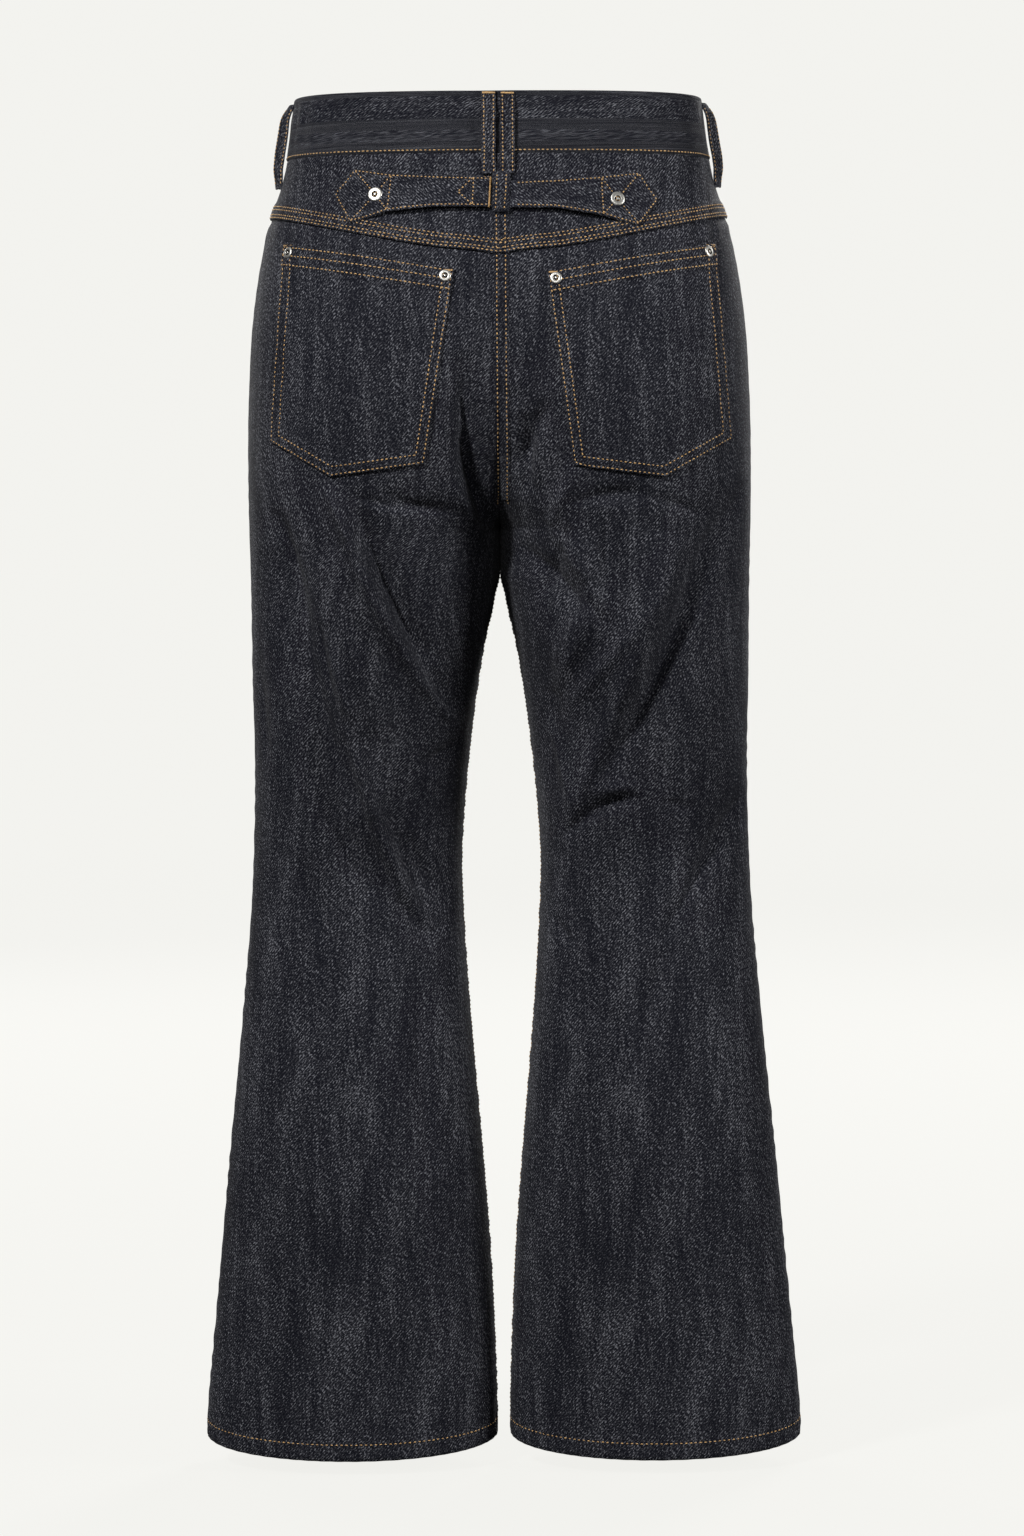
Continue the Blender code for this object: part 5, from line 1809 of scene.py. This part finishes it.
class JEANS_OT_pocket_stitching(Sewing, bpy.types.Operator):
    """Stitch the two patch pockets"""

    bl_idname = "jeans.pocket_stitching"
    bl_label = "Pocket stitching"

    def make(self):
        for side in SIDES:
            work = Seamstress(f"stitching_pocket_{side}", POCKET_SEEDS[side])
            pocket = surface_of([f"back_pocket_cloth_{side}"])
            edge = sizes().edge_row
            top = POCKET_TOP[side]
            foot = POCKET_FOOT[side]
            for inset in (edge, edge + POCKET_ROW_GAP):
                row = parallel([top[0], *foot, top[1]], inset, POCKET_MIDDLE)
                row[0] = slide(row[0], row[1], POCKET_ROW_START)
                row[-1] = slide(row[-1], row[-2], POCKET_ROW_START)
                work.flat_row(pocket, signed(row, side))
            for below in POCKET_HEM_ROWS:
                row = parallel(top, below, POCKET_MIDDLE)
                row = [slide(row[0], row[1], 0.0018), slide(row[1], row[0], 0.0018)]
                work.flat_row(pocket, signed(row, side), share=LONG_STITCH_SHARE)
            for corner, below in ((top[0], foot[0]), (top[1], foot[2])):
                inward = np.sign(POCKET_MIDDLE[0] - corner[0])
                for away in CORNER_BOX_ROWS:
                    ends = [slide(corner, below, length) for length in CORNER_BOX]
                    row = [(x + inward * away, drop) for x, drop in ends]
                    work.flat_row(pocket, signed(row, side))
                start = np.add(corner, (inward * 0.0016, 0.0014))
                end = np.add(corner, (inward * 0.0064, 0.0012))
                work.tack(pocket, signed((start, end), side), wide=0.0013)
            work.finish()


STRAP_MIDDLE = (0.06, 0.075)
STRAP_ROW_START = {"left": 0.0, "right": 0.0075}     # from the strap's end at the rise
LOOP_ROW_INSET = 0.0016
BACK_LOOP_ROW = (0.0030, 0.0600)                     # the drops that its rows run between


class JEANS_OT_strap_stitching(Sewing, bpy.types.Operator):
    """Stitch the straps, the keeper and the belt loops"""

    bl_idname = "jeans.strap_stitching"
    bl_label = "Strap stitching"

    def make(self):
        work = Seamstress("stitching_straps", 31)
        for side in SIDES:
            strap = surface_of([f"cinch_strap_cloth_{side}"])
            outline = STRAP_TOP[side] + STRAP_FOOT[side][-2::-1]
            row = parallel(outline, sizes().edge_row, STRAP_MIDDLE)
            row[0] = slide(row[0], row[1], STRAP_ROW_START[side])
            row[-1] = slide(row[-1], row[-2], STRAP_ROW_START[side])
            work.flat_row(strap, signed(row, side), pitch=FINE_PITCH)
            tab_top, tab_foot = TAB_ROWS[side]
            work.flat_row(strap, signed((tab_top, tab_foot), side), pitch=FINE_PITCH)
            rivet = dict((name, (x, drop)) for name, x, drop in CINCH_RIVETS)[side]
            for corner in (row[3], row[5], tab_top, tab_foot):
                work.flat_row(strap, signed((corner, rivet), side), pitch=FINE_PITCH)
        strap = surface_of(["cinch_strap_cloth_left"])
        for start, end in zip(TRIANGLE, TRIANGLE[1:]):
            work.flat_row(strap, (start, end), pitch=FINE_PITCH)
        work.tack(strap, ((0.0052, 0.0636), (0.0066, 0.0858)), wide=0.0015)
        work.flat_row(strap, ((0.0110, 0.0629), (0.0056, 0.0632)), pitch=FINE_PITCH)
        work.finish()
        work = Seamstress("stitching_loops", 32)
        for side, first, last in BACK_LOOPS:
            loop = surface_of([f"belt_loop_cloth_back_{side}"])
            for x in (first + LOOP_ROW_INSET, last - LOOP_ROW_INSET):
                work.flat_row(loop, [(x, drop) for drop in BACK_LOOP_ROW], pitch=FINE_PITCH)
            work.tack(loop, ((first + 0.0006, 0.0022), (last - 0.0006, 0.0022)), wide=0.0013)
        keeper = surface_of(["cinch_keeper_cloth"])
        for row in KEEPER_ROWS:
            work.flat_row(keeper, row, pitch=FINE_PITCH)
        self.side_loops(work)
        work.finish()

    def side_loops(self, work):
        """Rows on the loops that stand on the side seams and on the front."""
        trimmed = slice(2, -2)
        for side in SIDES:
            for place, swatch in (("side", side_loop_swatch(side)), ("front", front_loop_swatch(side))):
                loop = surface_of([f"belt_loop_cloth_{place}_{side}"])
                for column in ROW_COLUMNS:
                    line = swatch.points[trimmed, column]
                    work.row(loop, line, swatch.normals[trimmed, column], FINE_PITCH)


ROW_COLUMNS = (3, 9)             # columns of a loop's swatch that its rows follow
KEEPER_ROWS = (((0.0006, 0.0618), (0.0020, 0.0880)), ((-0.0062, 0.0618), (-0.0048, 0.0880)))
# Stitching of the tabs: each a row from the strap's upper edge to its lower edge
TAB_ROWS = {
    "left": ((0.0767, 0.0618), (0.0796, 0.0878)),
    "right": ((0.0746, 0.0645), (0.0756, 0.0914)),
}
TRIANGLE = ((0.0289, 0.0746), (0.0175, 0.0640), (0.0186, 0.0844), (0.0289, 0.0746))


class JEANS_OT_hem_stitching(Sewing, bpy.types.Operator):
    """Stitch the hems"""

    bl_idname = "jeans.hem_stitching"
    bl_label = "Hem stitching"

    def make(self):
        work = Seamstress("stitching_hems", 41)
        for side in SIDES:
            leg = surface_of([f"back_leg_cloth_{side}", f"front_leg_cloth_{side}"])
            turns = np.linspace(-pi, pi, 400)
            drops = HEM + hem_sway(turns) - sizes().hem_turn
            work.round_row(leg, side, turns, drops, pitch=HEM_PITCH)
        work.finish()


# How far in from its edge each of two rows runs
FLY_INSETS = (0.0022, 0.0085)
FRONT_RISE_INSETS = (0.0016, 0.0066)
SCOOP_INSETS = (0.0020, 0.0082)
INSEAM_INSETS = (0.0022, 0.0080)
FRONT_RISE_END = 0.2950


class JEANS_OT_front_stitching(Sewing, bpy.types.Operator):
    """Stitch the fly, the front pockets and the inseams"""

    bl_idname = "jeans.front_stitching"
    bl_label = "Front stitching"

    def make(self):
        work = Seamstress("stitching_fly", 51)
        fly = surface_of(["fly_lap_cloth", "front_leg_cloth_left"])
        for inset in FLY_INSETS:
            curve = np.linspace(0.0, pi / 2, 14)
            wide = FLY_WIDTH - inset
            deep = FLY_BOTTOM - FLY_STRAIGHT - inset
            rounding = [(wide * cos(angle), FLY_STRAIGHT + deep * sin(angle)) for angle in curve[:-1]]
            work.flat_row(fly, [(wide, BAND_HEIGHT + 0.002), *rounding], "front")
        for x in FRONT_RISE_INSETS:
            work.flat_row(fly, ((x, FLY_BOTTOM + 0.001), (x, FRONT_RISE_END)), "front")
        work.finish()
        work = Seamstress("stitching_scoops", 52)
        for side in SIDES:
            leg = surface_of([f"front_leg_cloth_{side}"])
            for inset in SCOOP_INSETS:
                arc = np.linspace(0.06, pi / 2 - 0.05, 80)
                turns = SCOOP_TURN * np.cos(arc) - inset / 0.11 * np.cos(arc) ** 0.5
                drops = BAND_HEIGHT + (SCOOP_DEPTH - BAND_HEIGHT) * np.sin(arc) + inset * np.sin(arc)
                work.round_row(leg, side, turns, drops)
        work.finish()
        work = Seamstress("stitching_inseams", 53)
        for side in SIDES:
            leg = surface_of([f"front_leg_cloth_{side}"])
            drops = np.linspace(CROTCH + 0.012, HEM - 0.014, 300)
            size = section(drops)
            depth = size["centre_y"] - size["front"]
            for inset in INSEAM_INSETS:
                turns = -pi + np.arcsin(np.clip((inset / depth) ** (size["power"] / 2), 0.0, 1.0))
                work.round_row(leg, side, turns, drops)
        work.finish()


STEPS = (
    JEANS_OT_stage, JEANS_OT_waistband, JEANS_OT_yokes, JEANS_OT_back_legs, JEANS_OT_front_legs,
    JEANS_OT_back_pockets, JEANS_OT_straps, JEANS_OT_loops, JEANS_OT_fly, JEANS_OT_rivets,
    JEANS_OT_button, JEANS_OT_back_stitching, JEANS_OT_pocket_stitching, JEANS_OT_strap_stitching,
    JEANS_OT_hem_stitching, JEANS_OT_front_stitching,
)


class JEANS_PT_panel(bpy.types.Panel):
    """Lists the steps and what may be changed."""

    bl_idname = "JEANS_PT_panel"
    bl_label = "Bootcut Jeans"
    bl_space_type = "VIEW_3D"
    bl_region_type = "UI"
    bl_category = "Jeans"

    def draw(self, context):
        for name, group in GROUPS.items():
            box = self.layout.box()
            for prop in group.__annotations__:
                box.prop(getattr(context.scene, name), prop)
        for step in STEPS:
            self.layout.operator(step.bl_idname)


def register():
    for group in (*GROUPS.values(), *STEPS, JEANS_PT_panel):
        bpy.utils.register_class(group)
    for name, group in GROUPS.items():
        setattr(bpy.types.Scene, name, PointerProperty(type=group))


def unregister():
    for name in GROUPS:
        delattr(bpy.types.Scene, name)
    for group in (JEANS_PT_panel, *reversed(STEPS), *GROUPS.values()):
        bpy.utils.unregister_class(group)


def main():
    register()
    for step in STEPS:
        family, action = step.bl_idname.split(".")
        getattr(getattr(bpy.ops, family), action)()


if __name__ == "__main__":
    main()
